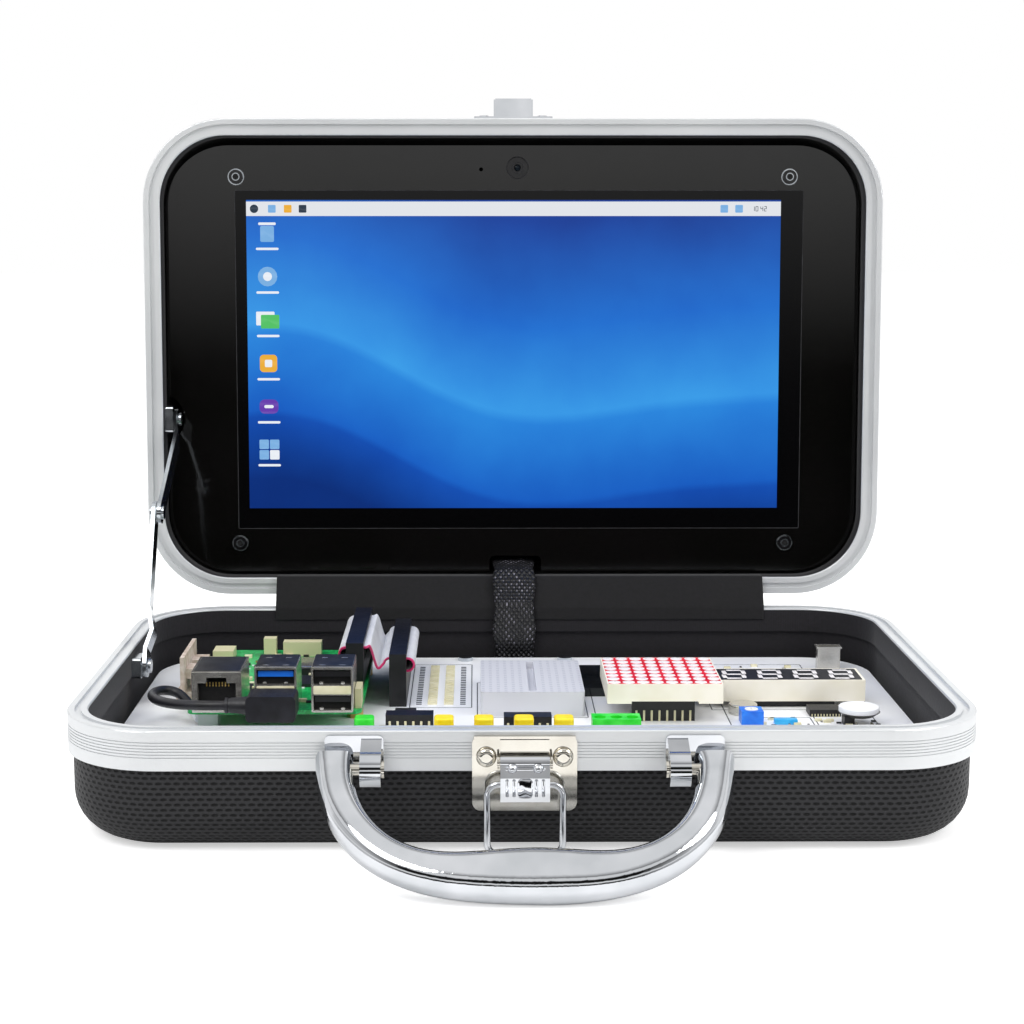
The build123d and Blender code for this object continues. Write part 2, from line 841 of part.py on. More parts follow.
# The tall socket on the computer is a stacking part under the cable socket
with BuildPart() as ribbon_sockets:
    for x, y, low, high in (
        (computer_socket_x, computer_socket_y, sbc_top + header_body, computer_socket_top),
        (board_socket_x, board_socket_y, board_header_top, board_socket_top),
    ):
        with BuildSketch(Plane.XY.offset(low)):
            with Locations((x, y)):
                Rectangle(socket_width, socket_length)
        extrude(amount=high - low)
    slot_length = ribbon_width + 0.6
    slot_height = ribbon_thick + 0.1
    for x, y, high in (
        (computer_socket_x, computer_socket_y, computer_socket_top),
        (board_socket_x, board_socket_y, board_socket_top),
    ):
        for drop in (2.4, 6.7):
            with BuildSketch(Plane.XY.offset(high - drop - slot_height / 2)):
                with Locations((x, y)):
                    Rectangle(socket_width + 2, slot_length)
            extrude(amount=slot_height, mode=Mode.SUBTRACT)

# Ribbon: folded round the outside of each socket and carried across between them
ribbon_skew = board_socket_y - computer_socket_y
upper_a = computer_socket_top - 2.4
lower_a = computer_socket_top - 6.7
upper_b = board_socket_top - 2.4
lower_b = board_socket_top - 6.7
half_socket = socket_width / 2
fold = (upper_a - lower_a) / 2


def fold_points(x, side, middle, start, stop, count):
    """Points round half a turn beside a socket, from one slot to the other."""
    points = []
    for i in range(count + 1):
        angle = math.radians(start + (stop - start) * i / count)
        points.append((x + side * fold * math.cos(angle), middle + fold * math.sin(angle)))
    return points


left_x = computer_socket_x - half_socket - 0.3
right_x = board_socket_x + half_socket + 0.3
between = right_x - left_x
ribbon_path = [(computer_socket_x + half_socket - 1.0, lower_a)]
ribbon_path += fold_points(left_x, -1, (upper_a + lower_a) / 2, -90, 90, 8)
ribbon_path += [
    (computer_socket_x + half_socket + 0.6, upper_a),
    (computer_socket_x + half_socket + 2.0, upper_a - 0.8),
    (computer_socket_x + half_socket + 4.0, upper_b - 1.6),
    (board_socket_x - half_socket - 2.0, upper_b - 1.2),
    (board_socket_x - half_socket - 0.6, upper_b),
]
ribbon_path += fold_points(right_x, 1, (upper_b + lower_b) / 2, 90, -90, 8)
ribbon_path += [(board_socket_x - half_socket + 1.0, lower_b)]


def ribbon_shift(x):
    """Y of the ribbon's middle: it runs askew between the two sockets."""
    start = computer_socket_x + half_socket + 0.6
    stop = board_socket_x - half_socket - 0.6
    share = min(1.0, max(0.0, (x - start) / (stop - start)))
    return computer_socket_y + ribbon_skew * share


with BuildPart() as ribbon_cable:
    for i, (x, z) in enumerate(ribbon_path):
        before = ribbon_path[max(i - 1, 0)]
        after = ribbon_path[min(i + 1, len(ribbon_path) - 1)]
        tangent = Vector(after[0] - before[0], 0, after[1] - before[1])
        with BuildSketch(Plane(origin=(x, ribbon_shift(x), z), x_dir=(0, 1, 0), z_dir=tangent)):
            Rectangle(ribbon_width, ribbon_thick)
    loft(ruled=True)

# Right-angled USB plug in the lower left port, and its short lead
plug_width = 15.6
plug_thick = 8.3
plug_length = 11.0
plug_rise = 1.0
plug_x = usb_xs[1] - 0.4
plug_front_y = usb_face_y - 1.4 - plug_length
plug_z = sbc_top + port_levels[0] + port_height / 2 + plug_rise
relief_length = 6.6
relief_radius = 2.7
cable_radius = 1.6
with BuildPart() as usb_plug:
    with BuildSketch(Plane.XZ.offset(-plug_front_y)):
        with Locations((plug_x, plug_z)):
            RectangleRounded(plug_width, plug_thick, 1.6)
    extrude(amount=-plug_length)
    with BuildSketch(Plane.XZ.offset(-plug_front_y - 0.0)):
        with Locations((usb_xs[1], sbc_top + port_levels[0] + port_height / 2)):
            Rectangle(port_width - 0.3, port_height - 0.3)
        with Locations((usb_xs[1], sbc_top + port_levels[0] + port_height - 0.6 - tongue_height / 2)):
            Rectangle(port_width - 0.6, tongue_height + 0.5, mode=Mode.SUBTRACT)
    extrude(amount=-(plug_length + 7.5))
    relief_plane = Plane(
        origin=(plug_x - plug_width / 2 + 0.6, plug_front_y + plug_length / 2, plug_z),
        x_dir=(0, 1, 0),
        z_dir=(-1, 0, 0),
    )
    with BuildSketch(relief_plane):
        Ellipse(relief_radius + 0.6, relief_radius + 0.3)
    with BuildSketch(relief_plane.offset(relief_length)):
        Circle(relief_radius - 0.4)
    loft()

cable_start = (plug_x - plug_width / 2 + 0.6 - relief_length, plug_front_y + plug_length / 2, plug_z)
cable_points = [
    cable_start,
    (-99.6, cable_start[1], cable_start[2]),
    (-109.5, -35.0, 31.8),
    (-117.0, -26.0, 30.8),
    (-120.6, -15.0, 30.0),
    (-118.6, -5.4, 29.2),
    (-113.4, -4.4, 28.2),
    (-109.6, -9.6, 26.4),
    (-106.2, -14.6, 24.4),
]
cable_end = cable_points[-1]
cable_out = Vector(*cable_points[-1]) - Vector(*cable_points[-2])


def corner_radii(points, share):
    """Largest even arc radius at each corner: a share of its shorter run."""
    radii = []
    for a, b, c in zip(points, points[1:], points[2:]):
        run_in = Vector(*b) - Vector(*a)
        run_out = Vector(*c) - Vector(*b)
        turn = math.radians(run_in.get_angle(run_out))
        radii.append(share * min(run_in.length, run_out.length) / math.tan(turn / 2))
    return radii


cable_radii = corner_radii(cable_points, 0.45)
print("usb cable arc radii", [round(r, 1) for r in cable_radii])
with BuildPart() as usb_cable:
    with BuildLine() as cable_line:
        FilletPolyline(*cable_points, radius=cable_radii)
    cable_wire = cable_line.wires()[0]
    with BuildSketch(Plane(origin=cable_wire @ 0, z_dir=cable_wire % 0)):
        Circle(cable_radius)
    sweep(path=cable_wire)
print(
    "usb cable length",
    round(cable_wire.length, 1),
    "volume ratio",
    round(usb_cable.part.volume / (math.pi * cable_radius**2 * cable_wire.length), 4),
)

# Board socket that the lead ends in, under the computer's front left corner
with BuildPart() as socket_piece:
    with BuildSketch(Plane(origin=cable_end, z_dir=cable_out)):
        Circle(cable_radius + 0.5)
    extrude(amount=4.5)
    with BuildSketch(Plane.XY.offset(board_top)):
        with Locations((cable_end[0] + 5.2, cable_end[1] - 4.6)):
            Rectangle(6.4, 7.0)
    extrude(amount=6.4)
cable_socket = socket_piece.part

# Ports along the computer's left edge and the two flat-cable connectors
with BuildPart() as sbc_connectors:
    for back_offset, width, depth, height in (
        (11.2, 9.0, 7.3, 3.2),
        (25.8, 6.5, 7.4, 3.0),
        (39.2, 6.5, 7.4, 3.0),
    ):
        with BuildSketch(Plane.XY.offset(sbc_top)):
            with Locations((sbc_left - 0.8 + depth / 2, sbc_back - back_offset)):
                Rectangle(depth, width)
        extrude(amount=height)
    with BuildSketch(Plane.XY.offset(sbc_top)):
        with Locations((sbc_left + 30.5, sbc_back - 8.0)):
            Rectangle(13.6, 4.6)
    extrude(amount=5.2)
    with BuildSketch(Plane.XY.offset(sbc_top)):
        with Locations((sbc_left + 19.0, sbc_back - 8.5)):
            Rectangle(4.4, 4.2)
    extrude(amount=6.6)
    with BuildSketch(Plane.XY.offset(sbc_top)):
        with Locations((sbc_right - 1.1, sbc_front + 7.0)):
            Rectangle(2.0, 9.5)
    extrude(amount=6.4)
    add(cable_socket)

with BuildPart() as chips:
    for x, y, width, depth, height, level in (
        (sbc_left + 30.0, sbc_back - 30.0, 17.0, 17.0, 2.4, sbc_top),
        (sbc_left + 31.0, sbc_back - 49.0, 12.5, 12.5, 1.1, sbc_top),
        (sbc_left + 14.0, sbc_back - 58.0, 8.0, 9.0, 1.0, sbc_top),
        (-37.6, -3.2, 7.0, 5.0, 1.6, board_top),
        (102.2, -3.3, 10.4, 7.4, 2.3, board_top),
        (-92.0, -64.0, 12.0, 12.0, 1.6, board_top),
    ):
        with BuildSketch(Plane.XY.offset(level)):
            with Locations((x, y)):
                Rectangle(width, depth)
        extrude(amount=height)

# Small upright board at the computer's left edge, with plugs in the edge ports
adapter_x = -113.0
adapter_front = 8.0
adapter_length = 30.0
adapter_low = board_top + 4.2
adapter_high = 36.8
with BuildPart() as adapter_board:
    with BuildSketch(Plane.XY.offset(adapter_low)):
        with Locations((adapter_x - 0.7, adapter_front + adapter_length / 2)):
            Rectangle(1.4, adapter_length)
    extrude(amount=adapter_high - adapter_low)
    for back_offset, width in ((11.2, 9.6), (25.8, 8.6), (39.2, 8.6)):
        plug_y = sbc_back - back_offset
        if plug_y < adapter_front + adapter_length:
            with BuildSketch(Plane.XY.offset(sbc_top + 0.1)):
                with Locations(((adapter_x + sbc_left - 1.0) / 2, plug_y)):
                    Rectangle(sbc_left - 1.0 - adapter_x, width)
            extrude(amount=3.4)
    with BuildSketch(Plane.XY.offset(board_top)):
        with Locations((adapter_x - 0.7, adapter_front + adapter_length / 2)):
            Rectangle(5.4, adapter_length - 6)
    extrude(amount=adapter_low - board_top)

# Modules on the main board
with BuildPart() as breadboard:
    with BuildSketch(Plane.XY.offset(board_top)):
        with Locations((4.8, 16.1)):
            RectangleRounded(34.6, 45.4, 1.0)
    extrude(amount=8.5)
    with BuildSketch(Plane.XY.offset(board_top + 8.5 - 2.5)):
        with Locations((4.8, 16.1)):
            Rectangle(2.6, 41.0)
    extrude(amount=2.5, mode=Mode.SUBTRACT)

matrix_x = 47.7
matrix_front = -18.2
matrix_size = 37.8
matrix_top = 34.0
matrix_thick = 6.6
matrix_y = matrix_front + matrix_size / 2
with BuildPart() as led_matrix:
    with BuildSketch(Plane.XY.offset(matrix_top - matrix_thick)):
        with Locations((matrix_x, matrix_y)):
            Rectangle(matrix_size, matrix_size)
    extrude(amount=matrix_thick)
    with BuildSketch(Plane.XY.offset(matrix_top - matrix_thick)):
        with Locations((matrix_x, matrix_y)):
            Rectangle(22.0, matrix_size + 1)
    extrude(amount=0.8, mode=Mode.SUBTRACT)

display_x = 92.4
display_front = 4.0
display_depth = 17.0
display_width = 50.3
display_top = 29.7
display_low = 22.4
with BuildPart() as segment_display:
    with BuildSketch(Plane.XY.offset(display_low)):
        with Locations((display_x, display_front + display_depth / 2)):
            Rectangle(display_width, display_depth)
    extrude(amount=display_top - display_low)

with BuildPart() as display_sockets:
    with BuildSketch(Plane.XY.offset(board_top)):
        with Locations((matrix_x, matrix_front + 7.4), (matrix_x, matrix_front + 31.0)):
            Rectangle(20.8, 2.5)
    extrude(amount=matrix_top - matrix_thick + 0.8 - board_top)
    with BuildSketch(Plane.XY.offset(board_top)):
        with Locations((display_x, display_front + 3.4), (display_x, display_front + 13.6)):
            Rectangle(30.5, 2.5)
    extrude(amount=display_low - board_top)

with BuildPart() as character_display:
    with BuildSketch(Plane.XY.offset(board_top)):
        with Locations((43.5, 37.4)):
            Rectangle(41.0, 34.2)
    extrude(amount=3.0)

keypad_pitch = 12.6
keypad_x = -24.2
keypad_y = -39.6
cap_top = 29.0
cap_size = 6.2
cap_travel = 0.5
switch_body = 6.0
switch_height = 4.2
yellow_xs = [keypad_x + i * keypad_pitch for i in range(4)]
green_x = -49.3
switch_columns = [(x, keypad_y) for x in yellow_xs] + [(green_x, keypad_y)]
hidden_rows = [(x, keypad_y - row * keypad_pitch) for x in yellow_xs for row in (1, 2)]
dip_a = (-35.6, -22.0)
dip_b = (2.6, -24.5)
dip_width = 15.4
dip_depth = 6.2
dip_height = 5.6
stem_radius = 1.6
stem_depth = 1.0
with BuildPart() as switch_bodies:
    with BuildSketch(Plane.XY.offset(board_top)):
        with Locations(*switch_columns, *hidden_rows):
            Rectangle(switch_body, switch_body)
        with Locations(dip_a, dip_b):
            Rectangle(dip_width, dip_depth)
    extrude(amount=switch_height)
    with BuildSketch(Plane.XY.offset(board_top + switch_height)):
        with Locations(dip_a, dip_b):
            Rectangle(dip_width, dip_depth)
    extrude(amount=dip_height - switch_height)
    with BuildSketch(Plane.XY.offset(board_top + switch_height)):
        with Locations(*hidden_rows):
            Circle(stem_radius)
    extrude(amount=1.6)
    bore_depth = stem_depth + 2 * cap_travel
    with BuildSketch(Plane.XY.offset(board_top + switch_height - bore_depth)):
        with Locations(*switch_columns):
            Circle(stem_radius + running_gap)
    extrude(amount=bore_depth, mode=Mode.SUBTRACT)


def button_cap(x, y):
    """A moulded cap with rounded corners on the plunger that enters its switch."""
    cap_low = board_top + switch_height + cap_travel + 0.1
    with BuildPart() as cap:
        with BuildSketch(Plane.XY.offset(cap_low)):
            with Locations((x, y)):
                RectangleRounded(cap_size, cap_size, 1.4)
        extrude(amount=cap_top - cap_low)
        fillet(cap.edges().group_by(Axis.Z)[-1], 0.7)
        stem_low = board_top + switch_height - stem_depth
        with BuildSketch(Plane.XY.offset(stem_low)):
            with Locations((x, y)):
                Circle(stem_radius)
        extrude(amount=cap_low - stem_low)
    return cap


button_caps = [button_cap(x, keypad_y) for x in yellow_xs]
button_green = button_cap(green_x, keypad_y)

with BuildPart() as terminal_block:
    with BuildSketch(Plane.XY.offset(board_top)):
        with Locations((30.0, -40.6)):
            Rectangle(15.24, 7.6)
    extrude(amount=9.2)
    with BuildSketch(Plane.XY.offset(board_top + 9.2 - 2.2)):
        with Locations(*[(30.0 + i * 5.08, -41.2) for i in (-1, 0, 1)]):
            Circle(1.9)
    extrude(amount=2.2, mode=Mode.SUBTRACT)
    with BuildSketch(Plane.XZ.offset(40.6 + 3.8)):
        with Locations(*[(30.0 + i * 5.08, board_top + 3.0) for i in (-1, 0, 1)]):
            Rectangle(3.8, 3.6)
    extrude(amount=-3.0, mode=Mode.SUBTRACT)

with BuildPart() as vibration_motor:
    with BuildSketch(Plane.XY.offset(board_top)):
        with Locations((75.4, -2.0)):
            Circle(4.8)
    extrude(amount=3.4)
    fillet(vibration_motor.edges().group_by(Axis.Z)[-1], 0.6)

trimmer_x = 76.4
trimmer_y = -14.6
trimmer_size = 7.2
trimmer_height = 4.6
rotor_radius = 2.2
with BuildPart() as trimmer_body:
    with BuildSketch(Plane.XY.offset(board_top)):
        with Locations((trimmer_x, trimmer_y)):
            Rectangle(trimmer_size, trimmer_size)
    extrude(amount=trimmer_height)
    with BuildSketch(Plane.XY.offset(board_top + trimmer_height - 1.6)):
        with Locations((trimmer_x, trimmer_y)):
            Circle(rotor_radius + running_gap)
    extrude(amount=1.6, mode=Mode.SUBTRACT)

with BuildPart() as trimmer_rotor:
    with BuildSketch(Plane.XY.offset(board_top + trimmer_height - 1.55)):
        with Locations((trimmer_x, trimmer_y)):
            Circle(rotor_radius)
    extrude(amount=1.75)
    with BuildSketch(Plane.XY.offset(board_top + trimmer_height - 0.5)):
        with Locations((trimmer_x, trimmer_y)):
            Rectangle(3.2, 0.7)
            Rectangle(0.7, 3.2)
    extrude(amount=1.0, mode=Mode.SUBTRACT)

cell_x = 111.4
cell_y = -16.3
cell_radius = 6.6
cell_low = 24.4
cell_thick = 1.7
with BuildPart() as coin_cell:
    with BuildSketch(Plane.XY.offset(cell_low)):
        with Locations((cell_x, cell_y)):
            Circle(cell_radius)
    extrude(amount=cell_thick)
    fillet(coin_cell.edges().group_by(Axis.Z)[-1], 0.4)

with BuildPart() as coin_cell_holder:
    with BuildSketch(Plane.XY.offset(board_top)):
        with Locations((cell_x - 3.4, cell_y)):
            Rectangle(3.4, 5.0)
    extrude(amount=cell_low - 1.4 - board_top)
    with BuildSketch(Plane.XY.offset(cell_low - 1.4)):
        with Locations((cell_x, cell_y)):
            Circle(cell_radius * 0.75)
    with BuildSketch(Plane.XY.offset(cell_low)):
        with Locations((cell_x, cell_y)):
            Circle(cell_radius + 0.3)
    loft()

with BuildPart() as upright_socket:
    with BuildSketch(Plane.XY.offset(board_top)):
        with Locations((115.0, 60.0)):
            Rectangle(8.2, 3.8)
    extrude(amount=8.2)
    with BuildSketch(Plane.XY.offset(board_top + 8.2)):
        with Locations((115.0, 60.0)):
            Rectangle(9.2, 4.8)
    extrude(amount=0.6)
    with BuildSketch(Plane.XY.offset(board_top + 2.0)):
        with Locations((115.0, 60.0)):
            Rectangle(7.2, 2.8)
    extrude(amount=8.0, mode=Mode.SUBTRACT)


# Screen panel and what it holds, set back inside the lid
panel_face = lid_rim.offset(-panel_recess)
panel_height = panel_top - panel_bottom
panel_mid = (panel_top + panel_bottom) / 2
panel_screws_at = [
    (side * panel_screw_x, y) for side in (-1, 1) for y in (panel_screw_top, panel_screw_bottom)
]
glass_gap = 0.15
glass_thick = 1.1
with BuildPart() as screen_panel:
    with BuildSketch(panel_face.offset(-panel_thick)):
        with Locations((0, panel_mid)):
            RectangleRounded(2 * panel_half_width, panel_height, inner_corner)
        with Locations((-panel_half_width - 3.6, stay_lid_reach - hinge_y)):
            Circle(9.6, mode=Mode.SUBTRACT)
        with Locations((1.0, panel_bottom)):
            RectangleRounded(19.8, 12.0, 2.0, mode=Mode.SUBTRACT)
        with Locations(*panel_screws_at):
            Circle(1.7, mode=Mode.SUBTRACT)
        with Locations((1.7, 71.6)):
            Circle(4.0, mode=Mode.SUBTRACT)
        with Locations((-12.0, 71.0)):
            Circle(0.75, mode=Mode.SUBTRACT)
        with Locations((0.3, 0.6)):
            Rectangle(205.0, 120.0, mode=Mode.SUBTRACT)
    extrude(amount=panel_thick)
    with BuildSketch(panel_face.offset(-glass_thick - 0.1)):
        with Locations((glass_shift_x, glass_shift_y)):
            Rectangle(glass_width + 2 * glass_gap, glass_height + 2 * glass_gap)
    extrude(amount=glass_thick + 0.1, mode=Mode.SUBTRACT)

with BuildPart() as screen_glass:
    with BuildSketch(panel_face.offset(-glass_thick)):
        with Locations((glass_shift_x, glass_shift_y)):
            Rectangle(glass_width, glass_height)
    extrude(amount=glass_thick)

with BuildPart() as lcd_module:
    with BuildSketch(panel_face.offset(-panel_thick - 5.2)):
        with Locations((glass_shift_x - 1.5, glass_shift_y)):
            Rectangle(211.0, 126.5)
    extrude(amount=5.2)

with BuildPart() as lcd_driver_board:
    with BuildSketch(panel_face.offset(-panel_thick - 5.2 - 4.6)):
        with Locations((20.0, -10.0)):
            Rectangle(92.0, 58.0)
    extrude(amount=1.6)
    with BuildSketch(panel_face.offset(-panel_thick - 5.2 - 3.0)):
        with Locations((-16.0, 8.0), (56.0, 8.0), (-16.0, -28.0), (56.0, -28.0)):
            Circle(2.4)
    extrude(amount=3.0)

with BuildPart() as panel_fixings:
    with BuildSketch(panel_face):
        with Locations(*panel_screws_at):
            Circle(panel_screw_radius)
    extrude(amount=1.1)
    with BuildSketch(panel_face.offset(-panel_thick)):
        with Locations(*panel_screws_at):
            Circle(1.5)
    extrude(amount=panel_thick)
    post_length = lid_height - lining_floor - panel_recess - panel_thick
    with BuildSketch(panel_face.offset(-panel_thick - post_length)):
        with Locations(*panel_screws_at):
            Circle(3.2)
    extrude(amount=post_length)

with BuildPart() as camera_module:
    with BuildSketch(panel_face.offset(-panel_thick - 3.0)):
        with Locations((1.7, 71.6)):
            Rectangle(12.0, 9.0)
    extrude(amount=3.0)
    with BuildSketch(panel_face.offset(-panel_thick)):
        with Locations((1.7, 71.6)):
            Circle(3.85)
            Circle(1.3, mode=Mode.SUBTRACT)
    extrude(amount=panel_thick - 0.2)

# Cloth strip over the hinge gap, and the braided lead to the screen
cover_half = 92.0
cover_shift = 2.5
cover_drop = 4.0
lid_edge = lid_rim.origin - lid_up * inner_edge + lid_out * 0.35
lid_tail = lid_edge - lid_out * cover_drop + lid_up * 0.35
cover_points = [
    (inner_edge - 0.35, base_height - cover_drop),
    (inner_edge - 0.35, base_height + 0.35),
    (lid_edge.Y, lid_edge.Z + 0.35),
    (lid_tail.Y, lid_tail.Z),
]


def strip_outline(points, thickness):
    """Closed outline of a strip of even thickness along an open run of points."""
    left = []
    right = []
    for i, point in enumerate(points):
        here = Vector(*point)
        into = here - Vector(*points[max(i - 1, 0)])
        away = Vector(*points[min(i + 1, len(points) - 1)]) - here
        into = into.normalized() if into.length else away.normalized()
        away = away.normalized() if away.length else into
        middle = (into + away).normalized()
        reach = thickness / 2 / middle.dot(into)
        side = Vector(-middle.Y, middle.X) * reach
        left.append(here + side)
        right.append(here - side)
    return left + right[::-1]


with BuildPart() as hinge_cover:
    with BuildSketch(Plane.YZ.offset(-cover_half + cover_shift)):
        with BuildLine():
            Polyline(*strip_outline(cover_points, 0.6), close=True)
        make_face()
    extrude(amount=2 * cover_half)

harness_width = 16.0
harness_thick = 2.0
harness_x = 0.3
harness_y = inner_edge - 0.7 - harness_thick / 2 - 0.2
lining_face_y = case_depth / 2 - shell_inset - shell_wall - lining_gap - lining_wall
harness_wall_y = lining_face_y - harness_thick / 2 - 0.05


def in_lid(up, out):
    """Y and Z of a point given along the lid and out of it, from the hinge axis."""
    point = hinge_point + lid_up * up + lid_out * out
    return (point.Y, point.Z)


harness_points = [
    in_lid(13.2, -14.2),
    in_lid(12.2, -8.0),
    in_lid(11.2, -3.0),
    in_lid(11.0, 0.5),
    in_lid(10.4, 3.2),
    (85.6, 48.6),
    (83.2, 44.2),
    (81.5, 41.0),
    (harness_y, 38.6),
    (harness_y, 27.0),
    (harness_wall_y, 21.0),
    (harness_wall_y, 14.6),
]
with BuildPart() as display_harness:
    with BuildSketch(Plane.YZ.offset(harness_x - harness_width / 2)):
        with BuildLine():
            Polyline(*strip_outline(harness_points, harness_thick), close=True)
        make_face()
    extrude(amount=harness_width)


pieces = {
    "base_shell": base_shell,
    "base_lining": base_lining,
    "base_frame": base_frame,
    "lid_shell": lid_shell,
    "lid_lining": lid_lining,
    "lid_frame": lid_frame,
    "hinge_base_leaves": hinge_base_leaves,
    "hinge_lid_leaves": hinge_lid_leaves,
    "handle": handle,
    "handle_brackets": handle_brackets,
    "latch_plate": latch_plate,
    "latch_lever": latch_lever,
    "latch_bail": latch_bail,
    "latch_catch": latch_catch,
    "rivets_and_pins": rivets_and_pins,
    "stay_base_bracket": stay_base_bracket,
    "stay_lid_bracket": stay_lid_bracket,
    "stay_lower_link": stay_lower_link,
    "stay_upper_link": stay_upper_link,
    "main_board": main_board,
    "standoffs": standoffs,
    "board_screws": board_screws,
    "sbc_board": sbc_board,
    "usb_stacks": usb_stacks,
    "usb_tongues": usb_tongues,
    "ethernet_jack": ethernet_jack,
    "pin_headers": pin_headers,
    "ribbon_sockets": ribbon_sockets,
    "ribbon_cable": ribbon_cable,
    "sbc_connectors": sbc_connectors,
    "chips": chips,
    "adapter_board": adapter_board,
    "usb_plug": usb_plug,
    "usb_cable": usb_cable,
    "breadboard": breadboard,
    "led_matrix": led_matrix,
    "segment_display": segment_display,
    "display_sockets": display_sockets,
    "character_display": character_display,
    "switch_bodies": switch_bodies,
    "button_green": button_green,
    "terminal_block": terminal_block,
    "vibration_motor": vibration_motor,
    "trimmer_body": trimmer_body,
    "trimmer_rotor": trimmer_rotor,
    "coin_cell": coin_cell,
    "coin_cell_holder": coin_cell_holder,
    "upright_socket": upright_socket,
    "screen_panel": screen_panel,
    "screen_glass": screen_glass,
    "lcd_module": lcd_module,
    "lcd_driver_board": lcd_driver_board,
    "panel_fixings": panel_fixings,
    "camera_module": camera_module,
    "hinge_cover": hinge_cover,
    "display_harness": display_harness,
}
for i, cap in enumerate(button_caps):
    pieces["button_yellow_" + str(i + 1)] = cap

for name, piece in pieces.items():
    piece.part.label = name
    export_step(piece.part, "parts/" + name + ".step")
print(len(pieces), "pieces")
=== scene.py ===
"""Looks of the electronics learning kit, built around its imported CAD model."""

import json
import math

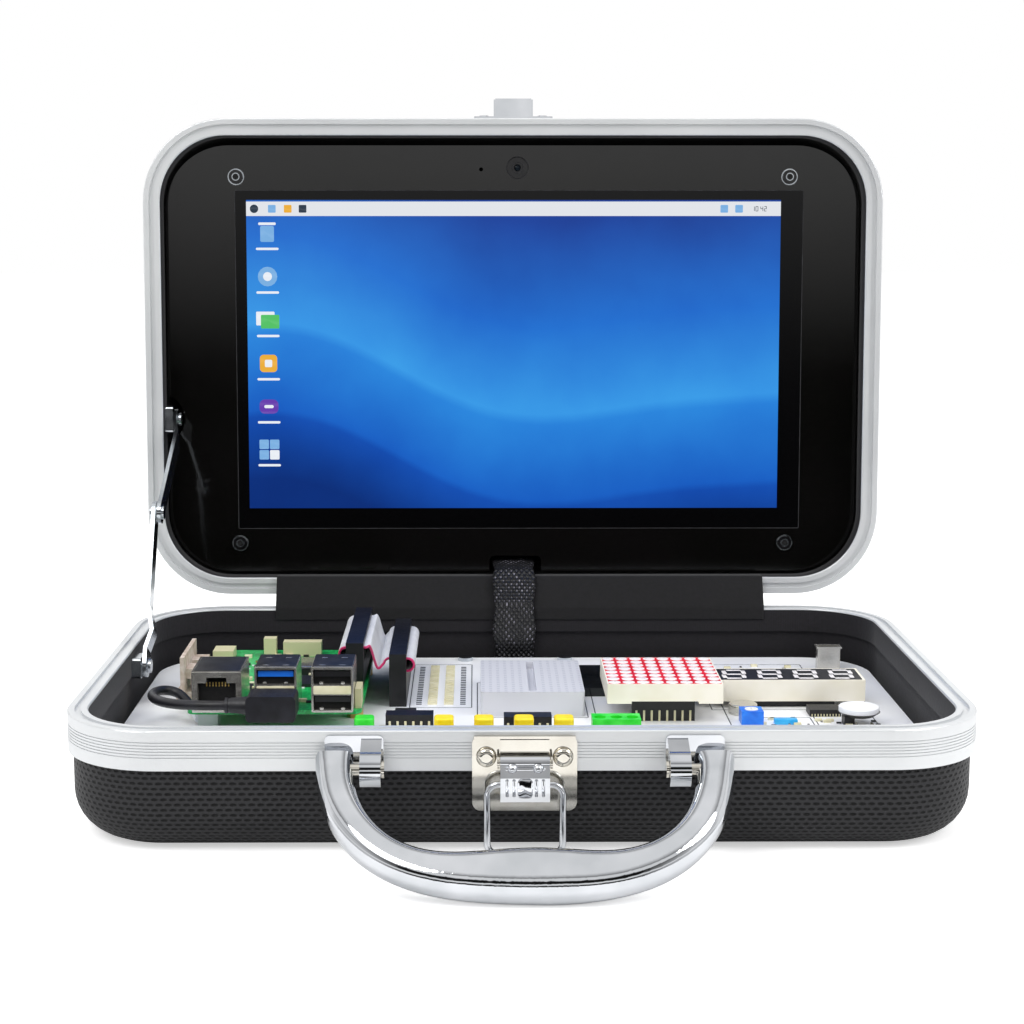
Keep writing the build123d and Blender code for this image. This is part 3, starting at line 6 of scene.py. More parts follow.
import bpy
import numpy as np
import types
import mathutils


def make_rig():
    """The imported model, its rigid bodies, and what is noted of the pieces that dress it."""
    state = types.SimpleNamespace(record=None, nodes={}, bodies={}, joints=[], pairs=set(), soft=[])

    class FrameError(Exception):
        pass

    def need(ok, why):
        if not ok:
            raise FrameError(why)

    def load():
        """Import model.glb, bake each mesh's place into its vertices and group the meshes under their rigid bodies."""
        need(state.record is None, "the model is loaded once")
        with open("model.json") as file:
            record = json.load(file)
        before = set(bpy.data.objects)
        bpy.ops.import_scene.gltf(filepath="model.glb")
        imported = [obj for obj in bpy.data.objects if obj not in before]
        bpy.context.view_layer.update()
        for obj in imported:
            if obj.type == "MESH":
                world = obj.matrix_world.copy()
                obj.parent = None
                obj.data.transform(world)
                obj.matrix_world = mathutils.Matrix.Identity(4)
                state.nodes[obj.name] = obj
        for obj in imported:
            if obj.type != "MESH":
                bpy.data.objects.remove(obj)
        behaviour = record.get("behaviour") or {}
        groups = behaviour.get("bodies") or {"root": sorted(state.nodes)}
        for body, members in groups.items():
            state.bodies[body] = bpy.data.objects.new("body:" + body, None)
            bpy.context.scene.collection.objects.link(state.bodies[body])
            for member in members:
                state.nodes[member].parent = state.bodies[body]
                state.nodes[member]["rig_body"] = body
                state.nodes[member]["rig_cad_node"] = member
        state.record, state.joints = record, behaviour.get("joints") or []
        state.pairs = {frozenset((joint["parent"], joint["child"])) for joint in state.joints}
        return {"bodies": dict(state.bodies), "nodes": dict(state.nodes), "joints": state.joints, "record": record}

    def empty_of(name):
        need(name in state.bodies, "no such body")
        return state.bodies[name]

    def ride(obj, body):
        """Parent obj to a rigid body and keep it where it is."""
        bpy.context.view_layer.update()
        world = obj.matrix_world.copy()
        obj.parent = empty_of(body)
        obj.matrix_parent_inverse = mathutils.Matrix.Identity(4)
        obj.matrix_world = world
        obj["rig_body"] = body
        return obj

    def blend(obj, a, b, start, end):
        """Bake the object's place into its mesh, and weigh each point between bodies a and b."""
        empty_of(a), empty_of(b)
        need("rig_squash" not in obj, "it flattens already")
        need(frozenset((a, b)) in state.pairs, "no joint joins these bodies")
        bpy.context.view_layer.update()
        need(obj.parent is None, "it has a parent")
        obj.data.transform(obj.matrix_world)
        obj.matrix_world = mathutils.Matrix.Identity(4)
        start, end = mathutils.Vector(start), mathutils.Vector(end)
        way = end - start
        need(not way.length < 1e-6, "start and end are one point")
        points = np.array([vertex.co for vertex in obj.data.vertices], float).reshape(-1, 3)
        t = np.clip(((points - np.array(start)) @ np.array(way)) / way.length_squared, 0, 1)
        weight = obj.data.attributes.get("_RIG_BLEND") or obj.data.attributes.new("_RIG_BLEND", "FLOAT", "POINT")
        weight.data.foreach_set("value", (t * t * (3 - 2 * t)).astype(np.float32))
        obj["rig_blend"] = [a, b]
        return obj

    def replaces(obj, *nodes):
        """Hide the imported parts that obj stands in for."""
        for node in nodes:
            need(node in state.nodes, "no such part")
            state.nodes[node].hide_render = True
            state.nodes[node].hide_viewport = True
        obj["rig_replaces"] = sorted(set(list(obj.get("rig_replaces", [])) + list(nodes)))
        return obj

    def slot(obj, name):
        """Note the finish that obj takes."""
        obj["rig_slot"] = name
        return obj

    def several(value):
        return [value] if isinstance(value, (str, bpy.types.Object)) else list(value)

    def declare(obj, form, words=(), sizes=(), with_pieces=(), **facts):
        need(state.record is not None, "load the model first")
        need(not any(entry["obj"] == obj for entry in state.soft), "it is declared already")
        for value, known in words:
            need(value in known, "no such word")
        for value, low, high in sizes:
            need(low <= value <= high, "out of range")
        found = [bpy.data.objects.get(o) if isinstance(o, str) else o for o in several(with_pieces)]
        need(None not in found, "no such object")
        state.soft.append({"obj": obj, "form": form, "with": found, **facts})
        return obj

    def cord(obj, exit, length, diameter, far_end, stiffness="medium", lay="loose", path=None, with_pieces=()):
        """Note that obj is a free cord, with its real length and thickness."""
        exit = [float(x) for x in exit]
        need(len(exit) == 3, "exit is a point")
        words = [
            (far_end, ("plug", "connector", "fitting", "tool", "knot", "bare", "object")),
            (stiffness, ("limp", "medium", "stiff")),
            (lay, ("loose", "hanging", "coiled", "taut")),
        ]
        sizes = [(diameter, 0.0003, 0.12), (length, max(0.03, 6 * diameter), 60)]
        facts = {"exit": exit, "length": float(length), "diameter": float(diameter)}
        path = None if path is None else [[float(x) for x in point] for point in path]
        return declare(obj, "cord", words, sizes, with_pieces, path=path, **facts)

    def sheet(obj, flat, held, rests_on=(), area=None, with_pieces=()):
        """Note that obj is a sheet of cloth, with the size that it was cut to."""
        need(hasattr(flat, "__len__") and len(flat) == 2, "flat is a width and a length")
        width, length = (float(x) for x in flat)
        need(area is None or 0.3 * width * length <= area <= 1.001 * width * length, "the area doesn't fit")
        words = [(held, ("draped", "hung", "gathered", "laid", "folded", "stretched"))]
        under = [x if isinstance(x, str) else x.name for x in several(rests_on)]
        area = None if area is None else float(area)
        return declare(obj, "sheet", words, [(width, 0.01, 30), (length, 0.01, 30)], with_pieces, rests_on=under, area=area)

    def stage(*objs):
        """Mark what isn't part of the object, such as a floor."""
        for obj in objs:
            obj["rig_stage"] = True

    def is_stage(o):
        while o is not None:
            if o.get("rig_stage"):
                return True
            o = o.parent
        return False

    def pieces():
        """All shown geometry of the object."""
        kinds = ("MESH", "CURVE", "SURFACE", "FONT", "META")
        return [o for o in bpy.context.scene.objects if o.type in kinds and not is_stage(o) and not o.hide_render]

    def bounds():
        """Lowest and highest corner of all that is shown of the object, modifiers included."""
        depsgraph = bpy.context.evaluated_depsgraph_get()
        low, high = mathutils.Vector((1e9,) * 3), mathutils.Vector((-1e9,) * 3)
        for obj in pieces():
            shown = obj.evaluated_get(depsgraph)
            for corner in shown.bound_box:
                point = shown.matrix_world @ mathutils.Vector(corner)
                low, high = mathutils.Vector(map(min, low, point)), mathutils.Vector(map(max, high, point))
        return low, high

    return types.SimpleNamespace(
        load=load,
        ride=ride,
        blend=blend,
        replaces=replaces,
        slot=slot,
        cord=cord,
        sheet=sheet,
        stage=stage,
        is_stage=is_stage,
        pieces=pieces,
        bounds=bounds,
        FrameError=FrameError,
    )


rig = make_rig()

bl_info = {
    "name": "Electronics learning kit",
    "version": (1, 0, 0),
    "blender": (4, 5, 0),
    "location": "3D View > Sidebar > Kit",
    "description": "Builds the case, boards, modules and cables of an electronics learning kit",
    "category": "Object",
}

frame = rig.load()
cad_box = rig.bounds()
nodes = frame["nodes"]

# The lid's own axes, in millimetres: it leans back 3.4 degrees about the hinge axis
LEAN = math.radians(3.4)
LID_UP = np.array((0, math.sin(LEAN), math.cos(LEAN)))
LID_OUT = np.array((0, -math.cos(LEAN), math.sin(LEAN)))
HINGE = np.array((0, 90.9, 40.5))
LID_CENTRE = HINGE + LID_UP * 90.9 + LID_OUT * 2.2
X_AXIS = np.array((1.0, 0, 0))
Y_AXIS = np.array((0, 1.0, 0))
Z_AXIS = np.array((0, 0, 1.0))
# Outline of the case as width, depth and corner radius, and the heights that pieces stand on
CASE = (276.0, 178.0, 31.0)
HALF_HEIGHT = 38.0
BOARD_TOP = 20.0
SBC_TOP = 28.5
PANEL_OUT = -10.0
# Centres of the modules, of the camera on the lid and of the sockets' openings
PLUG_BOARD = (4.8, 16.1)
LED_BLOCK = (47.7, 0.7)
DIGITS = (92.4, 12.5)
CAMERA = (1.7, 71.6)
MENU_UP = 56.3
SOCKET_FACE = -32.6
USB_X = (-77.8, -59.8)
JACK_X = -96.55
# Spacing of pins and of the LED block's lenses
PIN_PITCH = 2.54
LED_PITCH = 4.72

# The round lead's route, from the plug's strain relief to the socket on the carrier board
CABLE_ROUTE = (
    (-92.0, -39.5, 32.65),
    (-99.6, -39.5, 32.65),
    (-109.5, -35.0, 31.8),
    (-117.0, -26.0, 30.8),
    (-120.6, -15.0, 30.0),
    (-118.6, -5.4, 29.2),
    (-113.4, -4.4, 28.2),
    (-109.6, -9.6, 26.4),
    (-106.2, -14.6, 24.4),
)

MATERIALS = {}


# Shapes


def ring(width, depth, radius, steps):
    """Rounded rectangle, anticlockwise: each corner is a quarter circle sampled by angle."""
    radius = min(radius, width / 2, depth / 2)
    angle = np.linspace(0, math.pi / 2, steps)
    arc = np.stack((np.cos(angle), np.sin(angle)), 1) * radius
    centre = (width / 2 - radius, depth / 2 - radius)
    turned = []
    for sx, sy, quarter in ((1, 1, 0), (-1, 1, 1), (-1, -1, 2), (1, -1, 3)):
        c, s = math.cos(quarter * math.pi / 2), math.sin(quarter * math.pi / 2)
        turned.append(arc @ np.array(((c, s), (-s, c))) + (sx * centre[0], sy * centre[1]))
    return np.concatenate(turned)


def grid_faces(rows, columns, closed):
    """Quads between neighbouring rows; the columns join up when closed."""
    i, j = np.meshgrid(np.arange(rows - 1), np.arange(columns - (not closed)), indexing="ij")
    k = (j + 1) % columns
    quads = (i * columns + j, i * columns + k, (i + 1) * columns + k, (i + 1) * columns + j)
    return np.stack(quads, -1).reshape(-1, 4)


def stack(size, levels, corner=0.3, steps=3):
    """Skin through rings of a rounded rectangle, one for each (height, inset), with flat caps."""
    rings = [
        np.column_stack(
            (
                ring(size[0] - 2 * inset, size[1] - 2 * inset, max(corner - inset, 0.02), steps),
                np.full(4 * steps, height),
            )
        )
        for height, inset in levels
    ]
    count = 4 * steps
    faces = grid_faces(len(rings), count, True).tolist()
    faces.append(list(range(count))[::-1])
    faces.append(list(range((len(rings) - 1) * count, len(rings) * count)))
    return np.concatenate(rings), faces


def block(size, height, edge=0.2, corner=0.3, steps=3):
    """A box with its upright corners and its top edge rounded off."""
    levels = ((0, 0), (height - edge, 0), (height - edge * 0.3, edge * 0.3), (height, edge))
    return stack(size, levels, corner, steps)


def disc(radius, height, edge=0.2, steps=6):
    """A round block: the rounded rectangle's corner radius is half its side."""
    return block((2 * radius, 2 * radius), height, edge, radius, steps)


def dome(radius, height, steps=6):
    """A rounded head: the ring shrinks with height as a circle's arc does."""
    angle = np.linspace(0, 1.35, 6)
    levels = [(height * math.sin(a), radius * (1 - math.cos(a))) for a in angle]
    return stack((2 * radius, 2 * radius), levels, radius, steps)


def collar(size, levels, corner=0.3, steps=3):
    """A closed ring: the loop of (height, inset) levels is carried round a rounded rectangle."""
    points = stack(size, levels, corner, steps)[0]
    rows, columns = len(levels), 4 * steps
    i, j = np.meshgrid(np.arange(rows), np.arange(columns), indexing="ij")
    up, on = (i + 1) % rows, (j + 1) % columns
    quads = (i * columns + j, i * columns + on, up * columns + on, up * columns + j)
    return points, np.stack(quads, -1).reshape(-1, 4).tolist()


def outline(width, depth, line, height=0.05, corner=0.5, steps=3):
    """A raised line round a rectangle; its section is a low box."""
    return collar((width, depth), ((0, 0), (height, 0), (height, line), (0, line)), corner, steps)


def washer(radius, hole, height, steps=6):
    """A flat round ring."""
    return outline(2 * radius, 2 * radius, radius - hole, height, radius, steps)


def digit_bars(digit, width, height):
    """Centres of a seven-bar digit's lit bars, as (x, y, upright)."""
    places = {
        "a": (0, 0.5, False),
        "g": (0, 0, False),
        "d": (0, -0.5, False),
        "f": (-0.5, 0.25, True),
        "b": (0.5, 0.25, True),
        "e": (-0.5, -0.25, True),
        "c": (0.5, -0.25, True),
    }
    lit = {"0": "abcdef", "1": "bc", "2": "abged", "4": "fgbc", "8": "abcdefg"}[digit]
    return [(places[k][0] * width, places[k][1] * height, places[k][2]) for k in lit]


def put(shape, origin, x=X_AXIS, y=Y_AXIS):
    """The shape in the frame whose first two axes are x and y, with its origin moved."""
    points, faces = shape
    axes = np.stack((x, y, np.cross(x, y)))
    return points @ axes + np.array(origin, float), faces


def on_lid(shape, x, up, out=PANEL_OUT):
    """The shape standing on a plane of the lid, at a place measured from the lid's centre."""
    return put(shape, LID_CENTRE + X_AXIS * x + LID_UP * up + LID_OUT * out, X_AXIS, LID_UP)


def front(shape, x, y, z):
    """The shape standing out towards the front, from a point of an upright face."""
    return put(shape, (x, y, z), X_AXIS, Z_AXIS)


def many(shape, places):
    """The same shape moved to each place, as one mesh."""
    points, faces = shape
    shift = np.array(places, float).reshape(-1, 1, 3)
    count = len(points)
    moved = (points[None] + shift).reshape(-1, 3)
    return moved, [[v + i * count for v in f] for i in range(len(shift)) for f in faces]


def grid_places(x, y, z):
    """Every pair of the x and y values at one height."""
    a, b = np.meshgrid(np.array(x, float), np.array(y, float), indexing="ij")
    return np.stack((a.ravel(), b.ravel(), np.full(a.size, z)), 1)


def scatter(dice, low, high, count, height):
    """Random places over a rectangle, at one height."""
    return np.concatenate((dice.uniform(low, high, (count, 2)), np.full((count, 1), height)), 1)


def catmull(points, count):
    """Smooth line through the points: a Catmull-Rom curve sampled evenly in each run."""
    p = np.array(points, float)
    p = np.concatenate((2 * p[:1] - p[1:2], p, 2 * p[-1:] - p[-2:-1]))
    t = np.linspace(0, len(points) - 1, count)
    k = np.minimum(t.astype(int), len(points) - 2)
    f = (t - k)[:, None]
    a, b, c, d = p[k], p[k + 1], p[k + 2], p[k + 3]
    square = 2 * a - 5 * b + 4 * c - d
    cube = 3 * b - a - 3 * c + d
    return 0.5 * (2 * b + (c - a) * f + square * f**2 + cube * f**3)


def build(name, shapes, finishes, smooth=35):
    """One mesh object from (shape, finish number) pairs, in metres, shaded smooth by angle; the
    finishes are short names with spaces between."""
    points, faces, index, start = [], [], [], 0
    for (p, f), m in shapes:
        points.append(p)
        faces += [[v + start for v in face] for face in f]
        index += [m] * len(f)
        start += len(p)
    mesh = bpy.data.meshes.new(name)
    mesh.from_pydata((np.concatenate(points) / 1000).tolist(), [], faces)
    for key in finishes.split():
        mesh.materials.append(MATERIALS[key])
    mesh.polygons.foreach_set("material_index", index)
    mesh.polygons.foreach_set("use_smooth", [True] * len(mesh.polygons))
    mesh.set_sharp_from_angle(angle=math.radians(smooth))
    mesh.validate()
    obj = bpy.data.objects.new(name, mesh)
    bpy.context.scene.collection.objects.link(obj)
    return obj


def set_uv(obj, uv):
    """Gives each corner of the mesh its vertex's (u, v), in millimetres."""
    layer = obj.data.uv_layers.new(name="length_mm")
    index = np.zeros(len(obj.data.loops), np.int32)
    obj.data.loops.foreach_get("vertex_index", index)
    layer.data.foreach_set("uv", np.asarray(uv, np.float32)[index].ravel())


def carry(obj, body, slot=None, *replaced):
    """The piece rides on its body, takes its record slot and stands for its CAD nodes."""
    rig.ride(obj, body)
    if slot:
        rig.slot(obj, slot)
    if replaced:
        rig.replaces(obj, *replaced)
    return obj


# Materials


def linear(code):
    """sRGB hex colour to linear: the standard curve, with its straight foot."""
    c = np.array([int(code[i : i + 2], 16) for i in (1, 3, 5)]) / 255
    c = np.where(c <= 0.04045, c / 12.92, ((c + 0.055) / 1.055) ** 2.4)
    return (*c.tolist(), 1.0)


def feed(tree, node, inputs):
    """Gives a node its inputs, by name or number: a socket is linked and a value is set."""
    for key, value in inputs.items():
        if isinstance(value, bpy.types.NodeSocket):
            tree.links.new(value, node.inputs[key])
        else:
            node.inputs[key].default_value = value


def add(tree, kind, *inputs, at=(), out=0, stops=(), **named):
    """Adds a shader node and gives its output. A word after the kind is its operation. Inputs
    come in order, by number in at, or by capitalised name; other keywords are settings. Stops
    are a colour ramp's (place, hex colour) pairs."""
    kind, _, operation = kind.partition(" ")
    node = tree.nodes.new("ShaderNode" + kind)
    if operation:
        node.operation = operation
    for key, value in named.items():
        if key.islower():
            setattr(node, key, value)
    feed(tree, node, dict(enumerate(inputs)) | dict(at))
    feed(tree, node, {k.replace("_", " "): v for k, v in named.items() if not k.islower()})
    if stops:
        points = node.color_ramp.elements
        while len(points) < len(stops):
            points.new(0.5)
        for point, (place, code) in zip(points, stops):
            point.position = place
            point.color = linear(code)
    return node.outputs[out]


def new_material(name):
    """An empty material, its tree, and the object coordinates in millimetres."""
    material = bpy.data.materials.new(name)
    material.use_nodes = True
    tree = material.node_tree
    metres = add(tree, "TexCoord", out="Object")
    return material, tree, add(tree, "VectorMath SCALE", metres, Scale=1000.0)


def surface(tree, **inputs):
    """Sets or links inputs of the material's own shader; an underscore stands for a space."""
    feed(tree, tree.nodes["Principled BSDF"], {k.replace("_", " "): v for k, v in inputs.items()})


def map_millimetres(tree):
    """The piece's own map, which is in millimetres, as separate u and v."""
    return add(tree, "SeparateXYZ", add(tree, "UVMap", uv_map="length_mm"), out=slice(2))


def finish(name, colours, roughness, grain, relief, patch, metallic=0.0, split=None):
    """A moulded, cast, rolled or ground finish. Its colour drifts over a patch, and a finer grain
    moves the roughness between its two values and gives the relief, all in millimetres. A split,
    as axis and place, is where one moulding ends and the next, of the second colour, begins."""
    material, tree, place = new_material(name)
    if split:
        axis, edge = split
        share = add(tree, "Math GREATER_THAN", add(tree, "SeparateXYZ", place, out=axis), edge)
    else:
        share = add(tree, "TexNoise", place, Scale=1 / patch, Detail=2.0)
    fine = add(tree, "TexNoise", place, Scale=1 / grain, Detail=3.0)
    surface(
        tree,
        Base_Color=add(tree, "ValToRGB", share, stops=((0.35, colours[0]), (0.65, colours[1]))),
        Metallic=metallic,
        Roughness=add(tree, "MapRange", fine, 0.3, 0.7, *roughness),
        Normal=add(tree, "Bump", Strength=0.4, Distance=relief / 1000, Height=fine),
    )
    return material


# Name, two colours, roughness range, then grain, relief and patch in millimetres, and metallic
FINISHES = {
    # Extruded and satin anodised: near white and even, with only soft broad reflections
    "aluminium": ("aluminium_satin_anodised", ("#d6d8da", "#e2e4e5"), (0.36, 0.4), 8, 0, 60, 0.45),
    # Pressed and bright plated: a warm clear reflection with a slight wave
    "nickel": ("steel_bright_nickel_plated", ("#cfcabf", "#dedad0"), (0.07, 0.13), 4, 0.003, 8, 1),
    # Cast, polished and plated: sharp bands of light and dark
    "chrome": ("zinc_cast_chrome_plated", ("#c9ccd0", "#d9dbdf"), (0.04, 0.07), 8, 0.004, 15, 1),
    # Rolled strip, plated or tinned: a cool grey reflection that is softly blurred
    "zinc": ("steel_zinc_plated", ("#b9bec4", "#cfd4d8"), (0.14, 0.2), 3, 0.002, 8, 1),
    "tin": ("steel_sheet_tinned", ("#c9c6bf", "#dbd9d3"), (0.2, 0.27), 3, 0.001, 6, 0.85),
    # Turned or flashed on: yellow metal with a fine grain
    "brass": ("brass_turned", ("#c8a860", "#dcc488"), (0.2, 0.3), 0.5, 0.01, 4, 1),
    "gold": ("copper_pad_gold_flashed", ("#d9b45a", "#e8cc80"), (0.25, 0.35), 0.5, 0.004, 3, 1),
    # Printed and baked on fibreglass: a level half-gloss skin, and matt ink a little above it
    "white_board": ("circuit_board_white_mask", ("#f2f4fa", "#fafbfd"), (0.28, 0.36), 3, 0.001, 30),
    "ink": ("board_print_dark_ink", ("#3c3f46", "#55585f"), (0.5, 0.6), 0.5, 0.002, 4),
    "red": ("display_face_red_ink", ("#d10b1c", "#ea2434"), (0.3, 0.4), 1, 0.004, 6),
    # Sawn phenolic board: fine and matt at its cut edge
    "brown": ("phenolic_board_edge_brown", ("#b9a594", "#dccfc6"), (0.4, 0.5), 0.8, 0.004, 3),
    # Moulded black plastic and filled epoxy: from a satin pebble to a level gloss
    "black": ("nylon_moulded_black", ("#101013", "#1a1a1e"), (0.35, 0.45), 1.5, 0.003, 8),
    "black_gloss": ("abs_moulded_gloss_black", ("#0c0c0e", "#141417"), (0.12, 0.2), 3, 0.003, 12),
    "epoxy": ("epoxy_moulded_chip", ("#161618", "#26262a"), (0.4, 0.55), 0.3, 0.01, 3),
    # Soft extruded or moulded vinyl: a waxy, uneven shine
    "rubber": ("pvc_soft_black", ("#121216", "#23232a"), (0.38, 0.5), 0.9, 0.015, 6),
    "ribbon": ("pvc_ribbon_light_grey", ("#c9cacf", "#dcdde1"), (0.32, 0.42), 1.5, 0.004, 14),
    "pink": ("pvc_ribbon_edge_pink", ("#c4205e", "#dc3f7a"), (0.35, 0.45), 1, 0.004, 6),
    # Moulded coloured plastic: an even colour under a soft highlight
    "white": ("abs_moulded_white", ("#e9ebf0", "#f4f5f8"), (0.3, 0.42), 1.5, 0.006, 12),
    "ivory": ("abs_moulded_ivory", ("#f3eddb", "#faf5e8"), (0.35, 0.5), 1, 0.008, 10),
    "cream": ("nylon_moulded_cream", ("#d9d2ac", "#e6e0c2"), (0.4, 0.5), 0.8, 0.008, 5),
    "blue": ("nylon_moulded_blue", ("#0a62d8", "#2484f2"), (0.3, 0.42), 0.8, 0.008, 5),
    "pale_blue": ("nylon_moulded_sky_blue", ("#1f9be0", "#46b8ee"), (0.3, 0.42), 0.8, 0.008, 5),
    "yellow": ("abs_moulded_yellow", ("#ffdc10", "#ffe630"), (0.28, 0.4), 1, 0.006, 4),
    "green": ("abs_moulded_green", ("#1ed023", "#42e444"), (0.28, 0.4), 1, 0.006, 4),
    # Cast clear epoxy with a white filler: milky and smooth
    "lens": ("epoxy_cast_white_lens", ("#f2eef0", "#fbf8f8"), (0.25, 0.35), 1, 0.004, 4),
    # Float glass and cast acrylic over black: sharp reflections on a dark ground
    "dark_glass": ("display_glass_dark", ("#04080c", "#0c1822"), (0.06, 0.1), 4, 0.002, 20),
    "panel": ("acrylic_panel_gloss_black", ("#080807", "#0c0b0b"), (0.05, 0.08), 8, 0.0005, 60),
    # Painted shade: flat black for the unlit inside of a socket, with no shine at all
    "cavity": ("cavity_black_painted_shade", ("#040405", "#08080a"), (0.8, 0.9), 1, 0.002, 6),
}


def dimpled_shell(pitch, row):
    """ABS sheet, vacuum formed over a dimpled tool: staggered oval hollows. Painted shade keeps
    them black inside; the colour lightens out to the sheet's own dark grey between them, on a
    wider band along their lower lips as a painted highlight. The distance from a hollow's centre
    is the root of a squared plus b squared, each measured in the hollow's half width or half height."""
    material, tree, _ = new_material("abs_dimpled_vacuum_formed_painted_shade")
    wide, tall, lowered = 0.95, 0.72, 0.15
    u, v = map_millimetres(tree)
    rows = add(tree, "Math DIVIDE", v, row)
    odd = add(tree, "Math MODULO", add(tree, "Math FLOOR", rows), 2.0)
    columns = add(tree, "Math MULTIPLY_ADD", odd, 0.5, add(tree, "Math DIVIDE", u, pitch))
    a = add(tree, "Math MULTIPLY_ADD", add(tree, "Math FRACT", columns), 2 / wide, -1 / wide)
    b = add(tree, "Math MULTIPLY_ADD", add(tree, "Math FRACT", rows), 2 / tall, -(1 + lowered) / tall)
    squares = add(tree, "Math MULTIPLY_ADD", a, a, add(tree, "Math MULTIPLY", b, b))
    far = add(tree, "Math SQRT", squares)
    # Painted shade: black inside each hollow, lightening to the sheet's own dark grey between hollows, with a painted
    # highlight on the wider band below each
    stops = ((0.0, "#010102"), (0.62, "#010102"), (0.78, "#1c1c1e"), (1.0, "#2b2b2d"))
    height = add(tree, "MapRange", far, 0.3, 1.05, interpolation_type="SMOOTHSTEP")
    surface(
        tree,
        Base_Color=add(tree, "ValToRGB", far, stops=stops),
        Roughness=0.5,
        Specular_IOR_Level=0.22,
        Normal=add(tree, "Bump", Strength=0.8, Distance=0.0004, Height=height),
    )
    return material


def woven(name, colours, thread):
    """Plain-woven cloth: two sets of threads go over and under each other, and fluff breaks
    the colour; the thread spacing is drawn a little coarse so that it shows."""
    material, tree, place = new_material(name)
    waves = []
    for socket in map_millimetres(tree):
        waves.append(add(tree, "Math SINE", add(tree, "Math MULTIPLY", socket, 2 * math.pi / thread)))
    fluff = add(tree, "TexNoise", place, Scale=0.8, Detail=5.0)
    mixed = add(tree, "Math MULTIPLY_ADD", add(tree, "Math MULTIPLY", *waves), 0.12, fluff)
    surface(
        tree,
        Base_Color=add(tree, "ValToRGB", mixed, stops=((0.3, colours[0]), (0.8, colours[1]))),
        Roughness=0.9,
        Sheen_Weight=0.12,
        Sheen_Roughness=0.5,
        Normal=add(tree, "Bump", Strength=0.6, Distance=0.00015, Height=mixed),
    )
    return material


def braided_sleeve(width, pitch):
    """Braided polyester: two sets of flat yarns cross on the slant, with a painted highlight on the
    top of each crossing and painted shade, black, in the gaps."""
    material, tree, place = new_material("polyester_braided_sleeve_painted_light")
    u, v = map_millimetres(tree)
    across, along = add(tree, "Math DIVIDE", u, width), add(tree, "Math DIVIDE", v, pitch)
    sets = []
    for way in ("ADD", "SUBTRACT"):
        slant = add(tree, "Math " + way, across, along)
        wave = add(tree, "Math SINE", add(tree, "Math MULTIPLY", slant, math.pi))
        sets.append(add(tree, "Math ABSOLUTE", wave))
    yarn = add(tree, "Math MULTIPLY", *sets)
    drift = add(tree, "TexNoise", place, Scale=0.25, Detail=2.0)
    lit = add(tree, "Math MULTIPLY", yarn, drift)
    # Painted shade in the gaps between yarns and a painted highlight on the top of each crossing
    stops = ((0.1, "#050507"), (0.43, "#17161c"), (0.65, "#8d8a96"))
    surface(
        tree,
        Base_Color=add(tree, "ValToRGB", lit, stops=stops),
        Roughness=0.45,
        Normal=add(tree, "Bump", Strength=1.0, Distance=0.0005, Height=yarn),
    )
    return material


def plug_board_plastic(hole, trench, top):
    """ABS plug-in board, injection moulded: square holes on the pin grid, with painted shade inside
    them, on the top face only and on both sides of its middle trench."""
    material, tree, place = new_material("abs_moulded_plug_board_painted_hole_shade")
    x, y, z = add(tree, "SeparateXYZ", place, out=slice(3))
    side = add(tree, "Math ABSOLUTE", add(tree, "Math SUBTRACT", x, PLUG_BOARD[0]))
    mask = add(tree, "Math GREATER_THAN", side, trench)
    tests = [add(tree, "Math GREATER_THAN", z, top)]
    # The whole number keeps the sum above zero, and the half puts a hole's centre at one half
    ahead = 100.5
    for socket, start in ((x, PLUG_BOARD[0] + PIN_PITCH / 2), (y, PLUG_BOARD[1])):
        cells = add(tree, "Math DIVIDE", add(tree, "Math SUBTRACT", socket, start), PIN_PITCH)
        share = add(tree, "Math FRACT", add(tree, "Math ADD", cells, ahead))
        off = add(tree, "Math ABSOLUTE", add(tree, "Math SUBTRACT", share, 0.5))
        tests.append(add(tree, "Math LESS_THAN", off, hole / 2 / PIN_PITCH))
    for test in tests:
        mask = add(tree, "Math MULTIPLY", mask, test)
    surface(
        tree,
        # The holes take a darker grey as painted shade
        Base_Color=add(tree, "ValToRGB", mask, stops=((0.0, "#d3d4db"), (1.0, "#bcbec8"))),
        Roughness=0.35,
        Normal=add(tree, "Bump", invert=True, Strength=0.6, Distance=0.0004, Height=mask),
    )
    return material


